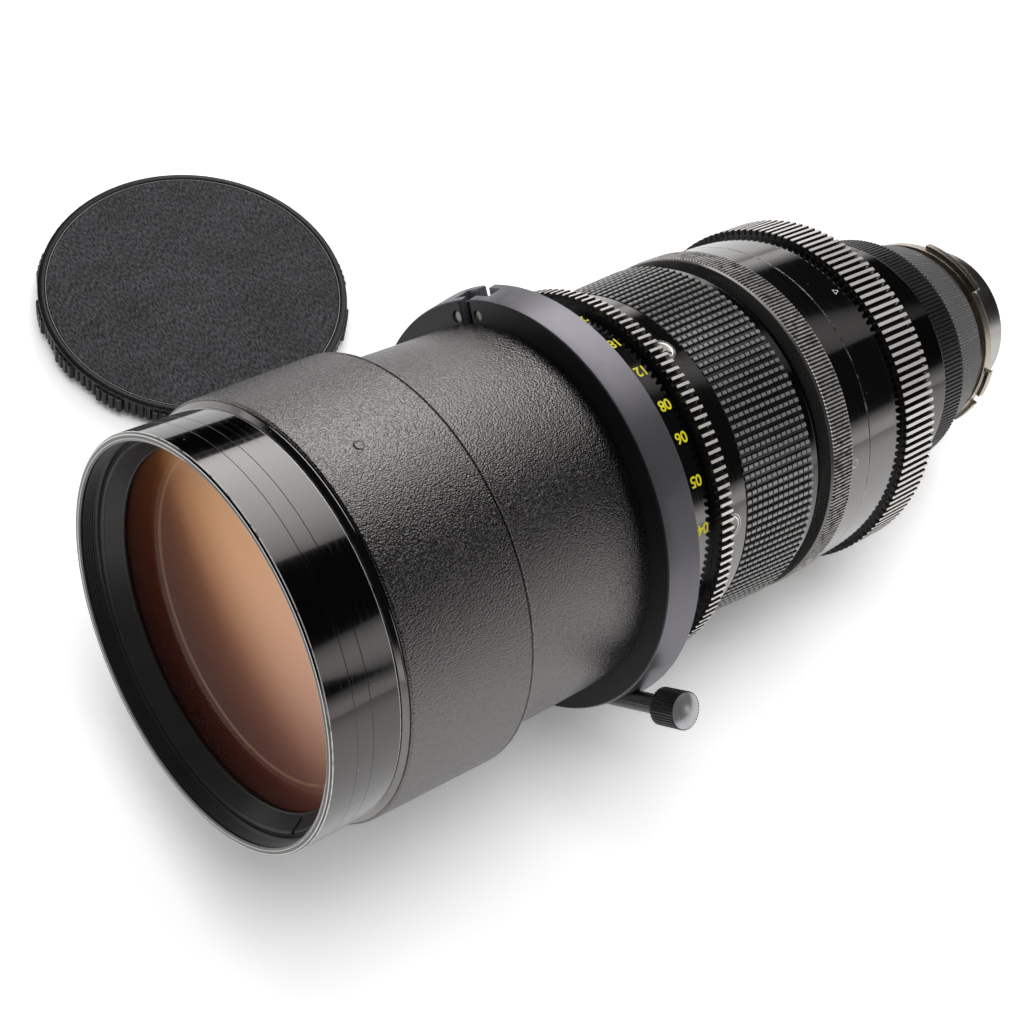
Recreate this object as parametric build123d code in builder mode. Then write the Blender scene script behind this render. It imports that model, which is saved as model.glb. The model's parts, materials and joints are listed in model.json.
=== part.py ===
"""A 10:1 cinema zoom lens lying on its support foot, with its front cap beside it.

Sizes are millimetres. Stations are measured along the optical axis from the front lip towards the
camera, radii from that axis, and angles about it as seen from the front: 0 is the lens's right-hand
side in the front view, 90 is the top. The lens rests nose up on the foot and on the zoom gear, so
its axis is tilted. The origin is the centre of the foot's pad.
"""

import os
from math import copysign, cos, radians, sin, sqrt, tan

from build123d import *

os.makedirs("parts", exist_ok=True)

# How the lens lies
tilt = 10.0

# Fits and clearances
slip = 0.05
ring_gap = 0.3
blade_gap = 0.3

# Front ring, name ring and front glass
front_ring_step = 1.5
front_ring_length = 21.2
front_ring_wall = 2.4
name_ring_inset = 1.2
name_ring_seat = 12.0
front_lip_chamfer = 0.6
front_spigot_length = 9.0
front_spigot_wall = 2.9
name_ring_depth = 5.6
name_ring_slope = 5.2
name_ring_lip = 0.5
front_cell_wall = 1.2
glass_cover = 1.5
front_glass_bulge = 5.8
front_glass_edge = 7.6
front_glass_hollow = 4.0
glass_shake = 0.1
spacer_wall = 5.3
spacer_length = 4.0
second_glass_edge = 9.0
second_glass_bulge = 3.0
cell_lip_length = 3.0
cell_lip_wall = 0.5

# Textured barrels
groove_ring_length = 1.5
groove_ring_step = 1.2
front_barrel_wall = 3.5
front_barrel_flare = 1.1
front_barrel_length = 38.7
mid_barrel_wall = 7.5
mid_barrel_length = 46.6
mid_barrel_socket = 18.0
barrel_chamfer = 0.4
barrel_screw_radius = 1.5
barrel_screw_length = 2.5
barrel_screw_sink = 0.4
barrel_screw_from_front = 13.4
barrel_screw_angle = 95.0
barrel_screw_count = 3

# Inner tube that carries everything
tube_radius = 48.0
tube_wall = 2.5

# Split support collar, its hinge and its foot
collar_length = 10.8
collar_seat_depth = 2.3
collar_front_wall = 9.2
collar_rear_wall = 11.0
collar_chamfer = 0.5
hinge_angle = 137.5
hinge_gap = 4.6
clamp_gap = 1.4
pin_spread = 4.6
pin_height = 4.5
hinge_pin_radius = 1.6
hinge_pin_cover = 0.6
link_length = 5.0
link_height = 1.4
link_thickness = 6.6
link_reach = 7.2
foot_length = 20.0
foot_width = 36.0
foot_root_height = 4.3
foot_corner = 3.0
bush_radius = 7.0
bush_length = 10.0
bush_hole_radius = 4.76

# Clamp screw through the collar
clamp_axis_height = 4.1
clamp_rod_radius = 2.9
clamp_rod_tail = 16.0
knob_start = 42.4
knob_length = 8.8
knob_radius = 5.5
knob_rib_count = 36
knob_rib_depth = 0.3
knob_cap_rise = 1.6

# Focus ring
scale_band_length = 16.1
scale_band_wall = 6.3
gear_module = 0.8
focus_gear_rise = 3.3
focus_gear_width = 5.0
focus_gear_seat = 2.0
focus_flange_length = 10.2
focus_flange_wall = 5.2
focus_screw_count = 6
focus_screw_radius = 3.6
focus_screw_depth = 1.6
focus_screw_sink = 0.3
focus_screw_from_gear = 3.9
focus_screw_angle = 32.6
grip_length = 28.6
grip_seat = 1.5
grip_front_wall = 5.4
grip_rear_wall = 7.0
grip_rib_count = 134
grip_rib_depth = 1.0

# Band between focus and zoom
middle_band_length = 7.4
middle_band_wall = 5.4
middle_band_face = 3.2
middle_band_recess = 2.6

# Zoom ring
knurl_length = 10.0
knurl_seat = 2.0
knurl_wall = 7.4
knurl_rib_count = 292
knurl_rib_depth = 0.5
drum_band_length = 25.4
drum_band_wall = 6.3
drum_groove_from_front = 9.4
drum_groove_width = 0.5
drum_groove_depth = 0.3
zoom_gear_rise = 2.1
zoom_gear_width = 14.5
zoom_gear_seat = 3.0
zoom_screw_count = 3
zoom_screw_radius = 1.4
zoom_screw_length = 2.5
zoom_screw_from_front = 2.2
zoom_screw_angle = 33.8

# Rear housing and iris
rear_shoulder_wall = 2.4
rear_shoulder_length = 3.0
rear_cone_length = 10.0
rear_neck_wall = 4.6
rear_housing_length = 26.0
rear_spigot_length = 8.0
rear_spigot_wall = 7.5
iris_spigot_length = 16.0
iris_ring_length = 13.2
iris_ring_seat = 2.0
iris_ring_wall = 4.8
iris_rib_count = 180
iris_rib_depth = 0.7
iris_housing_wall = 8.0
iris_throat_wall = 9.0
iris_wall = 3.2
iris_cover_length = 8.0
scale_ring_length = 19.4
scale_ring_seat = 3.0
scale_ring_front_wall = 5.6
scale_ring_rear_wall = 1.2
blade_count = 6
blade_thickness = 0.6
blade_pivot_inset = 5.6
blade_width = 7.0
blade_span = 100.0

# Camera mount
mount_neck_length = 4.6
mount_neck_wall = 4.4
mount_flange_wall = 6.2
mount_flange_thickness = 3.5
wing_reach = 8.0
wing_thickness = 2.6
wing_angle = 41.0
wing_count = 4
wing_first_angle = 4.0
wing_notch_width = 3.6
rear_tube_radius = 27.0
rear_tube_seat_step = 0.4
rear_tube_wall = 3.0
rear_tube_length = 16.4
rear_tube_recess = 0.9
mount_screw_height = 3.0
mount_screw_radius = 1.8
mount_screw_length = 2.4

# Moving glass inside the tube
focus_cell_inset = 24.3
focus_cell_length = 16.0
focus_cell_wall = 7.5
cam_drum_clearance = 1.2
cam_drum_length = 128.0
cam_drum_wall = 3.5
variator_cell_inset = 6.0
variator_cell_length = 14.0
variator_cell_wall = 12.0
compensator_cell_inset = 100.0
compensator_cell_length = 16.0
compensator_cell_wall = 14.0
rear_cell_length = 18.0
rear_cell_wall = 4.0
cell_shoulder = 3.0
cell_glass_bulge = 2.0

# Front cap, taken off and lying beside the lens
cap_place_x = -156.0
cap_place_y = 1.0
cap_step = 0.2
cap_height = 11.6
cap_skirt_height = 8.6
cap_block_count = 16
cap_ribs_per_block = 4
cap_rib_depth = 0.7
cap_recess_depth = 1.3
cap_shoulder = 4.4
cap_spigot_wall = 3.0
cap_top_wall = 1.8
cap_edge_width = 3.2
cap_rim_width = 0.8
cap_inlay_depth = 1.2

# Radii and tooth counts that follow from the sizes above, out from the inner tube
tube_bore = tube_radius - tube_wall
inner_end_radius = tube_bore - slip
bearing_bore = tube_radius + slip
mid_barrel_radius = tube_radius + mid_barrel_wall
barrel_bore = mid_barrel_radius + slip
front_barrel_radius = mid_barrel_radius + front_barrel_wall
front_ring_radius = mid_barrel_radius + front_ring_step
groove_ring_radius = front_ring_radius + groove_ring_step
front_bore_radius = front_ring_radius - front_ring_wall
name_ring_radius = front_bore_radius - name_ring_inset
front_spigot_bore = mid_barrel_radius - front_spigot_wall
front_glass_radius = front_spigot_bore - front_cell_wall
glass_opening_radius = front_glass_radius - glass_cover
spacer_opening_radius = front_glass_radius - spacer_wall
cell_lip_radius = tube_bore - cell_lip_wall
collar_bore_radius = mid_barrel_radius - collar_seat_depth
collar_front_radius = collar_bore_radius + collar_front_wall
collar_rear_radius = collar_bore_radius + collar_rear_wall
pin_circle_radius = collar_bore_radius + pin_height
link_inner_radius = collar_bore_radius + link_height
link_outer_radius = link_inner_radius + link_thickness
foot_root_radius = collar_bore_radius + foot_root_height
clamp_axis_radius = collar_bore_radius + clamp_axis_height
scale_band_radius = tube_radius + scale_band_wall
focus_teeth = round(2 * (scale_band_radius + focus_gear_rise) / gear_module) - 2
focus_gear_bore = tube_radius + focus_gear_seat
focus_flange_radius = tube_radius + focus_flange_wall
grip_bore = tube_radius + grip_seat
grip_front_radius = tube_radius + grip_front_wall
grip_rear_radius = tube_radius + grip_rear_wall
middle_band_radius = tube_radius + middle_band_wall
knurl_bore = tube_radius + knurl_seat
knurl_radius = tube_radius + knurl_wall
drum_band_radius = tube_radius + drum_band_wall
zoom_teeth = round(2 * (drum_band_radius + zoom_gear_rise) / gear_module) - 2
zoom_gear_bore = tube_radius + zoom_gear_seat
rear_shoulder_radius = tube_radius + rear_shoulder_wall
rear_bore = tube_bore - rear_spigot_wall
rear_neck_radius = rear_bore + rear_neck_wall
iris_ring_bore = rear_bore - iris_ring_seat
iris_ring_radius = iris_ring_bore + iris_ring_wall
iris_chamber_radius = rear_bore - iris_housing_wall
iris_throat_radius = iris_chamber_radius - iris_throat_wall
blade_middle_radius = iris_chamber_radius - blade_pivot_inset
scale_ring_bore = iris_ring_bore - scale_ring_seat
scale_ring_front_radius = scale_ring_bore + scale_ring_front_wall
scale_ring_rear_radius = scale_ring_bore + scale_ring_rear_wall
mount_neck_radius = rear_tube_radius + mount_neck_wall
mount_flange_radius = rear_tube_radius + mount_flange_wall
wing_radius = rear_tube_radius + wing_reach
mount_screw_circle = rear_tube_radius + mount_screw_height
rear_tube_seat_radius = rear_tube_radius - rear_tube_seat_step
rear_tube_bore = rear_tube_radius - rear_tube_wall
cam_drum_bore = tube_bore - cam_drum_wall
focus_glass_radius = tube_bore - focus_cell_wall
variator_glass_radius = cam_drum_bore - variator_cell_wall
compensator_glass_radius = cam_drum_bore - compensator_cell_wall
rear_glass_radius = rear_tube_bore - rear_cell_wall
cap_radius = front_bore_radius - cap_step
cap_spigot_radius = cap_radius - cap_shoulder
cap_hollow_radius = cap_spigot_radius - cap_spigot_wall
cap_rim_radius = cap_radius - cap_edge_width

# Stations that follow from the sizes above
front_barrel_start = front_ring_length + groove_ring_length
front_barrel_end = front_barrel_start + front_barrel_length
mid_barrel_start = front_barrel_end - mid_barrel_socket
collar_start = front_barrel_end + mid_barrel_length
collar_end = collar_start + collar_length
collar_middle = (collar_start + collar_end) / 2
front_glass_start = name_ring_seat + glass_shake
front_glass_end = front_glass_start + front_glass_edge
spacer_end = front_glass_end + spacer_length
second_glass_end = spacer_end + second_glass_edge
tube_start = second_glass_end + cell_lip_length
scale_band_start = collar_end + ring_gap
focus_gear_start = scale_band_start + scale_band_length
focus_gear_end = focus_gear_start + focus_gear_width
grip_start = focus_gear_end + focus_flange_length
grip_end = grip_start + grip_length
middle_band_start = grip_end + ring_gap
middle_band_end = middle_band_start + middle_band_length
knurl_start = middle_band_end + ring_gap
knurl_end = knurl_start + knurl_length
zoom_gear_start = knurl_end + drum_band_length
zoom_gear_end = zoom_gear_start + zoom_gear_width
rear_housing_start = zoom_gear_end + ring_gap
rear_housing_end = rear_housing_start + rear_housing_length
focus_cell_start = tube_start + focus_cell_inset
cam_drum_end = rear_housing_start - rear_spigot_length - cam_drum_clearance
cam_drum_start = cam_drum_end - cam_drum_length
variator_cell_start = cam_drum_start + variator_cell_inset
compensator_cell_start = cam_drum_start + compensator_cell_inset
iris_ring_start = rear_housing_end + ring_gap
iris_ring_end = iris_ring_start + iris_ring_length
scale_ring_start = iris_ring_end + ring_gap
scale_ring_end = scale_ring_start + scale_ring_length
flange_start = scale_ring_end + mount_neck_length
flange_end = flange_start + mount_flange_thickness
lens_end = flange_end + rear_tube_length
blade_pitch = blade_thickness + blade_gap
blades_length = blade_count * blade_pitch + blade_gap

# Places and directions of the tilted lens
tip_radius_zoom = gear_module * (zoom_teeth + 2) / 2
foot_rear = collar_middle + foot_length / 2
foot_drop = tip_radius_zoom + (zoom_gear_end - foot_rear) * tan(radians(tilt))
floor_height = -foot_length / 2 * sin(radians(tilt))
along = Vector(0, cos(radians(tilt)), -sin(radians(tilt)))
upward = Vector(0, sin(radians(tilt)), cos(radians(tilt)))
front_centre = upward * foot_drop - along * collar_middle
lens_axis = Axis(front_centre, along)
half_section = Plane(origin=front_centre, x_dir=along, z_dir=Vector(1, 0, 0))


def toward(angle):
    """Direction that leaves the optical axis at this angle."""
    return Vector(1, 0, 0) * cos(radians(angle)) + upward * sin(radians(angle))


def across(station, angle=0.0):
    """Plane square to the axis at a station, facing the front, its X turned to the angle."""
    return Plane(origin=front_centre + along * station, x_dir=toward(angle), z_dir=-along)


def skin(station, angle, radius):
    """Plane that touches a cylinder about the axis, facing outwards."""
    origin = front_centre + along * station + toward(angle) * radius
    return Plane(origin=origin, x_dir=along, z_dir=toward(angle))


def band(start, end, inner, outer):
    """Half section of a plain ring, for the sketch in hand."""
    with Locations(((start + end) / 2, (inner + outer) / 2)):
        Rectangle(end - start, outer - inner)


def dome(vertex, edge_station, edge_radius):
    """Half of a spherical face, from the axis out to its edge."""
    rise = edge_station - vertex
    ball = (edge_radius**2 + rise**2) / (2 * rise)
    half = edge_radius / 2
    middle = vertex + ball - copysign(sqrt(ball**2 - half**2), ball)
    return ThreePointArc((vertex, 0), (middle, half), (edge_station, edge_radius))


def toothed(count, tip, depth, root_share, tip_share):
    """Corners of a round outline with straight-sided teeth or ribs."""
    corners = []
    pitch = 360 / count
    for tooth in range(count):
        for share, radius in (
            (-root_share / 2, tip - depth),
            (-tip_share / 2, tip),
            (tip_share / 2, tip),
            (root_share / 2, tip - depth),
        ):
            angle = radians((tooth + share) * pitch)
            corners.append((radius * cos(angle), radius * sin(angle)))
    return corners


def ribbed(count, tip, depth):
    """Corners of a round outline with fine V-shaped ribs."""
    corners = []
    for corner in range(2 * count):
        radius = tip - depth * (corner % 2)
        angle = radians(corner * 180 / count)
        corners.append((radius * cos(angle), radius * sin(angle)))
    return corners


def finish(piece, name):
    """Label a finished piece and write it under its name."""
    piece.part.label = name
    export_step(piece.part, f"parts/{name}.step")


# Front ring: the gloss hood with its bore for filters and its spigot into the barrel
with BuildPart() as front_ring:
    with BuildSketch(half_section):
        Polygon(
            (0, front_bore_radius),
            (0, front_ring_radius - front_lip_chamfer),
            (front_lip_chamfer, front_ring_radius),
            (front_ring_length, front_ring_radius),
            (front_ring_length, barrel_bore - slip),
            (front_ring_length + front_spigot_length, barrel_bore - slip),
            (front_ring_length + front_spigot_length, front_spigot_bore),
            (name_ring_seat, front_spigot_bore),
            (name_ring_seat, name_ring_radius + slip),
            (name_ring_depth, name_ring_radius + slip),
            (name_ring_depth, front_bore_radius),
            align=None,
        )
    revolve(axis=lens_axis)
finish(front_ring, "front_ring")

# Name ring: the bare cone that holds the front glass
with BuildPart() as name_ring:
    with BuildSketch(half_section):
        Polygon(
            (name_ring_depth, name_ring_radius),
            (name_ring_depth + name_ring_slope, glass_opening_radius),
            (name_ring_seat - name_ring_lip, glass_opening_radius),
            (name_ring_seat, front_glass_radius + slip),
            (name_ring_seat, name_ring_radius),
            align=None,
        )
    revolve(axis=lens_axis)
finish(name_ring, "name_ring")

# Front glass: a meniscus bulging through the name ring
with BuildPart() as front_glass:
    with BuildSketch(half_section):
        with BuildLine():
            dome(front_glass_start - front_glass_bulge, front_glass_start, front_glass_radius)
            Line((front_glass_start, front_glass_radius), (front_glass_end, front_glass_radius))
            dome(front_glass_end - front_glass_hollow, front_glass_end, front_glass_radius)
            Line(
                (front_glass_start - front_glass_bulge, 0),
                (front_glass_end - front_glass_hollow, 0),
            )
        make_face()
    revolve(axis=lens_axis)
finish(front_glass, "front_glass")

# Spacer ring between the two front glasses
with BuildPart() as spacer_ring:
    with BuildSketch(half_section):
        band(front_glass_end, spacer_end, spacer_opening_radius, front_glass_radius)
    revolve(axis=lens_axis)
finish(spacer_ring, "spacer_ring")

# Second glass
with BuildPart() as second_glass:
    with BuildSketch(half_section):
        with BuildLine():
            dome(spacer_end - second_glass_bulge, spacer_end, spacer_opening_radius)
            Line((spacer_end, spacer_opening_radius), (spacer_end, front_glass_radius))
            Line((spacer_end, front_glass_radius), (second_glass_end, front_glass_radius))
            Line((second_glass_end, front_glass_radius), (second_glass_end, 0))
            Line((second_glass_end, 0), (spacer_end - second_glass_bulge, 0))
        make_face()
    revolve(axis=lens_axis)
finish(second_glass, "second_glass")

# Front cell: carries the front glasses on the nose of the inner tube
with BuildPart() as front_cell:
    with BuildSketch(half_section):
        Polygon(
            (name_ring_seat, front_glass_radius + slip),
            (name_ring_seat, front_spigot_bore - slip),
            (mid_barrel_start, front_spigot_bore - slip),
            (mid_barrel_start, bearing_bore),
            (tube_start, bearing_bore),
            (tube_start, cell_lip_radius),
            (second_glass_end, cell_lip_radius),
            (second_glass_end, front_glass_radius + slip),
            align=None,
        )
    revolve(axis=lens_axis)
finish(front_cell, "front_cell")

# Groove ring: the thin black lip behind the front ring
with BuildPart() as groove_ring:
    with BuildSketch(half_section):
        band(front_ring_length, front_barrel_start, barrel_bore, groove_ring_radius)
    revolve(axis=lens_axis)
finish(groove_ring, "groove_ring")

# Front barrel: the wider textured shell, slightly flared towards its step
with BuildPart() as front_barrel:
    with BuildSketch(half_section):
        Polygon(
            (front_barrel_start, barrel_bore),
            (front_barrel_start, front_barrel_radius - barrel_chamfer),
            (front_barrel_start + barrel_chamfer, front_barrel_radius),
            (front_barrel_end - barrel_chamfer, front_barrel_radius + front_barrel_flare),
            (front_barrel_end, front_barrel_radius + front_barrel_flare - barrel_chamfer),
            (front_barrel_end, barrel_bore),
            align=None,
        )
    revolve(axis=lens_axis)
    barrel_screw_station = front_barrel_start + barrel_screw_from_front
    for number in range(barrel_screw_count):
        screw_angle = barrel_screw_angle + number * 360 / barrel_screw_count
        with BuildSketch(skin(barrel_screw_station, screw_angle, barrel_bore)):
            Circle(barrel_screw_radius)
        extrude(amount=2 * front_barrel_flare + front_barrel_radius - barrel_bore, mode=Mode.SUBTRACT)
finish(front_barrel, "front_barrel")

# Set screws sunk in the front barrel
with BuildPart() as barrel_screws:
    for number in range(barrel_screw_count):
        screw_angle = barrel_screw_angle + number * 360 / barrel_screw_count
        screw_top = front_barrel_radius - barrel_screw_sink
        with BuildSketch(skin(barrel_screw_station, screw_angle, screw_top)):
            Circle(barrel_screw_radius - slip)
        extrude(amount=-barrel_screw_length)
finish(barrel_screws, "barrel_screws")

# Middle barrel: textured, with the seat of the support collar behind it
with BuildPart() as mid_barrel:
    with BuildSketch(half_section):
        Polygon(
            (mid_barrel_start, bearing_bore),
            (mid_barrel_start, mid_barrel_radius),
            (collar_start, mid_barrel_radius),
            (collar_start, collar_bore_radius),
            (collar_end, collar_bore_radius),
            (collar_end, bearing_bore),
            align=None,
        )
    revolve(axis=lens_axis)
finish(mid_barrel, "mid_barrel")

# Inner tube on which every ring turns or sits
with BuildPart() as main_tube:
    with BuildSketch(half_section):
        band(tube_start, rear_housing_start, tube_bore, tube_radius)
    revolve(axis=lens_axis)
finish(main_tube, "main_tube")

# Support collar: one turned ring, split into two halves that meet at the link and the clamp
collar_bore = collar_bore_radius + slip
clamp_angle = hinge_angle - 180
clamp_direction = toward(hinge_angle - 90)
clamp_foot = front_centre + along * collar_middle + toward(clamp_angle) * clamp_axis_radius
clamp_plane = Plane(origin=clamp_foot, x_dir=along, z_dir=clamp_direction)
collar_reach = 2 * collar_rear_radius
foot_plane = Plane(origin=(0, 0, 0), x_dir=(1, 0, 0), z_dir=upward)
for half_name, side in (("collar_upper", -1), ("collar_lower", 1)):
    with BuildPart() as collar_half:
        with BuildSketch(half_section):
            Polygon(
                (collar_start, collar_bore),
                (collar_start, collar_front_radius - collar_chamfer),
                (collar_start + collar_chamfer, collar_front_radius),
                (collar_end - collar_chamfer, collar_rear_radius),
                (collar_end, collar_rear_radius - collar_chamfer),
                (collar_end, collar_bore),
                align=None,
            )
        revolve(axis=lens_axis)
        if side > 0:
            with BuildSketch(foot_plane):
                RectangleRounded(foot_width, foot_length, foot_corner)
            extrude(amount=foot_drop - foot_root_radius)
            with BuildSketch(foot_plane):
                Circle(bush_radius + slip)
            extrude(amount=bush_length, mode=Mode.SUBTRACT)
        with BuildSketch(across(collar_end + foot_length, hinge_angle)):
            Polygon(
                (-collar_reach, side * clamp_gap / 2),
                (0, side * clamp_gap / 2),
                (0, side * hinge_gap / 2),
                (collar_reach, side * hinge_gap / 2),
                (collar_reach, side * collar_reach),
                (-collar_reach, side * collar_reach),
                align=None,
            )
        extrude(amount=collar_length + 2 * foot_length, mode=Mode.INTERSECT)
        with BuildSketch(across(collar_middle + link_length / 2 + slip, hinge_angle)):
            with Locations((link_inner_radius - slip + collar_reach / 2, 0)):
                Rectangle(collar_reach, 2 * (link_reach + ring_gap))
        extrude(amount=link_length + 2 * slip, mode=Mode.SUBTRACT)
        with BuildSketch(across(collar_end, hinge_angle + side * pin_spread)):
            with Locations((pin_circle_radius, 0)):
                Circle(hinge_pin_radius + slip)
        extrude(amount=collar_length, mode=Mode.SUBTRACT)
        with BuildSketch(clamp_plane.offset(-clamp_rod_tail - ring_gap)):
            Circle(clamp_rod_radius + slip)
        extrude(amount=clamp_rod_tail + knob_start, mode=Mode.SUBTRACT)
    finish(collar_half, half_name)

# Link that joins the two halves at the top, and its two pins
with BuildPart() as collar_link:
    with BuildSketch(across(collar_middle + link_length / 2, hinge_angle)):
        with Locations(((link_inner_radius + link_outer_radius) / 2, 0)):
            Rectangle(link_outer_radius - link_inner_radius, 2 * link_reach)
    extrude(amount=link_length)
    with BuildSketch(across(collar_end, hinge_angle)):
        with PolarLocations(pin_circle_radius, 2, -pin_spread, 2 * pin_spread, endpoint=True):
            Circle(hinge_pin_radius + slip)
    extrude(amount=collar_length, mode=Mode.SUBTRACT)
finish(collar_link, "collar_link")

with BuildPart() as collar_pins:
    with BuildSketch(across(collar_end - hinge_pin_cover, hinge_angle)):
        with PolarLocations(pin_circle_radius, 2, -pin_spread, 2 * pin_spread, endpoint=True):
            Circle(hinge_pin_radius)
    extrude(amount=collar_length - 2 * hinge_pin_cover)
finish(collar_pins, "collar_pins")

# Threaded bush in the foot
with BuildPart() as foot_bush:
    with BuildSketch(foot_plane):
        Circle(bush_radius)
        Circle(bush_hole_radius, mode=Mode.SUBTRACT)
    extrude(amount=bush_length)
finish(foot_bush, "foot_bush")

# Clamp screw: rod, ribbed knob and domed end cap
knob_plane = Plane(origin=clamp_foot + clamp_direction * knob_start, x_dir=along, z_dir=clamp_direction)
with BuildPart() as clamp_rod:
    with BuildSketch(clamp_plane.offset(-clamp_rod_tail)):
        Circle(clamp_rod_radius)
    extrude(amount=clamp_rod_tail + knob_start)
finish(clamp_rod, "clamp_rod")

with BuildPart() as clamp_knob:
    with BuildSketch(knob_plane):
        Polygon(*toothed(knob_rib_count, knob_radius, knob_rib_depth, 0.7, 0.4), align=None)
    extrude(amount=knob_length)
finish(clamp_knob, "clamp_knob")

knob_cap_base = knob_plane.offset(knob_length)
knob_cap_radius = knob_radius - knob_rib_depth
with BuildPart() as knob_cap:
    with BuildSketch(Plane(origin=knob_cap_base.origin, x_dir=clamp_direction, z_dir=along)):
        with BuildLine():
            dome(knob_cap_rise, 0, knob_cap_radius)
            Line((0, knob_cap_radius), (0, 0))
            Line((0, 0), (knob_cap_rise, 0))
        make_face()
    revolve(axis=Axis(knob_cap_base.origin, clamp_direction))
finish(knob_cap, "knob_cap")

# Focus ring: scale band, sleeve with its flange, gear, screws and ribbed grip
with BuildPart() as scale_band:
    with BuildSketch(half_section):
        band(scale_band_start, focus_gear_start, bearing_bore, scale_band_radius)
    revolve(axis=lens_axis)
finish(scale_band, "scale_band")

focus_screw_station = focus_gear_end + focus_screw_from_gear
focus_screw_seat = focus_flange_radius - focus_screw_depth
with BuildPart() as focus_sleeve:
    with BuildSketch(half_section):
        Polygon(
            (focus_gear_start, bearing_bore),
            (focus_gear_start, focus_gear_bore),
            (focus_gear_end, focus_gear_bore),
            (focus_gear_end, focus_flange_radius),
            (grip_start, focus_flange_radius),
            (grip_start, grip_bore),
            (grip_end, grip_bore),
            (grip_end, bearing_bore),
            align=None,
        )
    revolve(axis=lens_axis)
    for number in range(focus_screw_count):
        screw_angle = focus_screw_angle + number * 360 / focus_screw_count
        with BuildSketch(skin(focus_screw_station, screw_angle, focus_screw_seat)):
            Circle(focus_screw_radius)
        extrude(amount=2 * focus_screw_depth, mode=Mode.SUBTRACT)
finish(focus_sleeve, "focus_sleeve")

with BuildPart() as focus_screws:
    for number in range(focus_screw_count):
        screw_angle = focus_screw_angle + number * 360 / focus_screw_count
        with BuildSketch(skin(focus_screw_station, screw_angle, focus_screw_seat)):
            Circle(focus_screw_radius - slip)
        extrude(amount=focus_screw_depth - focus_screw_sink)
finish(focus_screws, "focus_screws")

focus_tip_radius = gear_module * (focus_teeth + 2) / 2
tooth_depth = 2.25 * gear_module
with BuildPart() as focus_gear:
    with BuildSketch(across(focus_gear_end)):
        Polygon(*toothed(focus_teeth, focus_tip_radius, tooth_depth, 0.72, 0.38), align=None)
        Circle(focus_gear_bore + slip, mode=Mode.SUBTRACT)
    extrude(amount=focus_gear_width)
finish(focus_gear, "focus_gear")

with BuildPart() as focus_grip:
    with BuildSketch(across(grip_end)):
        Polygon(*toothed(grip_rib_count, grip_rear_radius, grip_rib_depth, 0.7, 0.5), align=None)
        Circle(grip_bore + slip, mode=Mode.SUBTRACT)
    extrude(amount=grip_length)
    with BuildSketch(half_section):
        Polygon(
            (grip_start, 0),
            (grip_start, grip_front_radius),
            (grip_end, grip_rear_radius),
            (grip_end, 0),
            align=None,
        )
    revolve(axis=lens_axis, mode=Mode.INTERSECT)
finish(focus_grip, "focus_grip")

# Fixed band between the focus and zoom rings, with a recess behind its face
with BuildPart() as middle_band:
    with BuildSketch(half_section):
        Polygon(
            (middle_band_start, bearing_bore),
            (middle_band_start, middle_band_radius),
            (middle_band_start + middle_band_face, middle_band_radius),
            (middle_band_start + middle_band_face, middle_band_radius - middle_band_recess),
            (middle_band_end, middle_band_radius - middle_band_recess),
            (middle_band_end, bearing_bore),
            align=None,
        )
    revolve(axis=lens_axis)
finish(middle_band, "middle_band")

# Zoom ring: drum, fine ribbed ring, gear and set screws
groove_station = knurl_end + drum_groove_from_front
zoom_screw_station = knurl_end + zoom_screw_from_front
zoom_screw_seat = drum_band_radius - zoom_screw_length
with BuildPart() as zoom_drum:
    with BuildSketch(half_section):
        Polygon(
            (knurl_start, bearing_bore),
            (knurl_start, knurl_bore),
            (knurl_end, knurl_bore),
            (knurl_end, drum_band_radius),
            (groove_station, drum_band_radius),
            (groove_station, drum_band_radius - drum_groove_depth),
            (groove_station + drum_groove_width, drum_band_radius - drum_groove_depth),
            (groove_station + drum_groove_width, drum_band_radius),
            (zoom_gear_start, drum_band_radius),
            (zoom_gear_start, zoom_gear_bore),
            (zoom_gear_end, zoom_gear_bore),
            (zoom_gear_end, bearing_bore),
            align=None,
        )
    revolve(axis=lens_axis)
    for number in range(zoom_screw_count):
        screw_angle = zoom_screw_angle + number * 360 / zoom_screw_count
        with BuildSketch(skin(zoom_screw_station, screw_angle, zoom_screw_seat)):
            Circle(zoom_screw_radius)
        extrude(amount=2 * zoom_screw_length, mode=Mode.SUBTRACT)
finish(zoom_drum, "zoom_drum")

with BuildPart() as zoom_screws:
    for number in range(zoom_screw_count):
        screw_angle = zoom_screw_angle + number * 360 / zoom_screw_count
        with BuildSketch(skin(zoom_screw_station, screw_angle, zoom_screw_seat)):
            Circle(zoom_screw_radius - slip)
        extrude(amount=zoom_screw_length - barrel_screw_sink)
finish(zoom_screws, "zoom_screws")

with BuildPart() as knurled_ring:
    with BuildSketch(across(knurl_end)):
        Polygon(*ribbed(knurl_rib_count, knurl_radius, knurl_rib_depth), align=None)
        Circle(knurl_bore + slip, mode=Mode.SUBTRACT)
    extrude(amount=knurl_length)
finish(knurled_ring, "knurled_ring")

with BuildPart() as zoom_gear:
    with BuildSketch(across(zoom_gear_end)):
        Polygon(*toothed(zoom_teeth, tip_radius_zoom, tooth_depth, 0.72, 0.38), align=None)
        Circle(zoom_gear_bore + slip, mode=Mode.SUBTRACT)
    extrude(amount=zoom_gear_width)
finish(zoom_gear, "zoom_gear")

# Cam drum that turns with the zoom ring inside the tube
with BuildPart() as cam_drum:
    with BuildSketch(half_section):
        band(cam_drum_start, cam_drum_end, cam_drum_bore, inner_end_radius)
    revolve(axis=lens_axis)
finish(cam_drum, "cam_drum")

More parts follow.
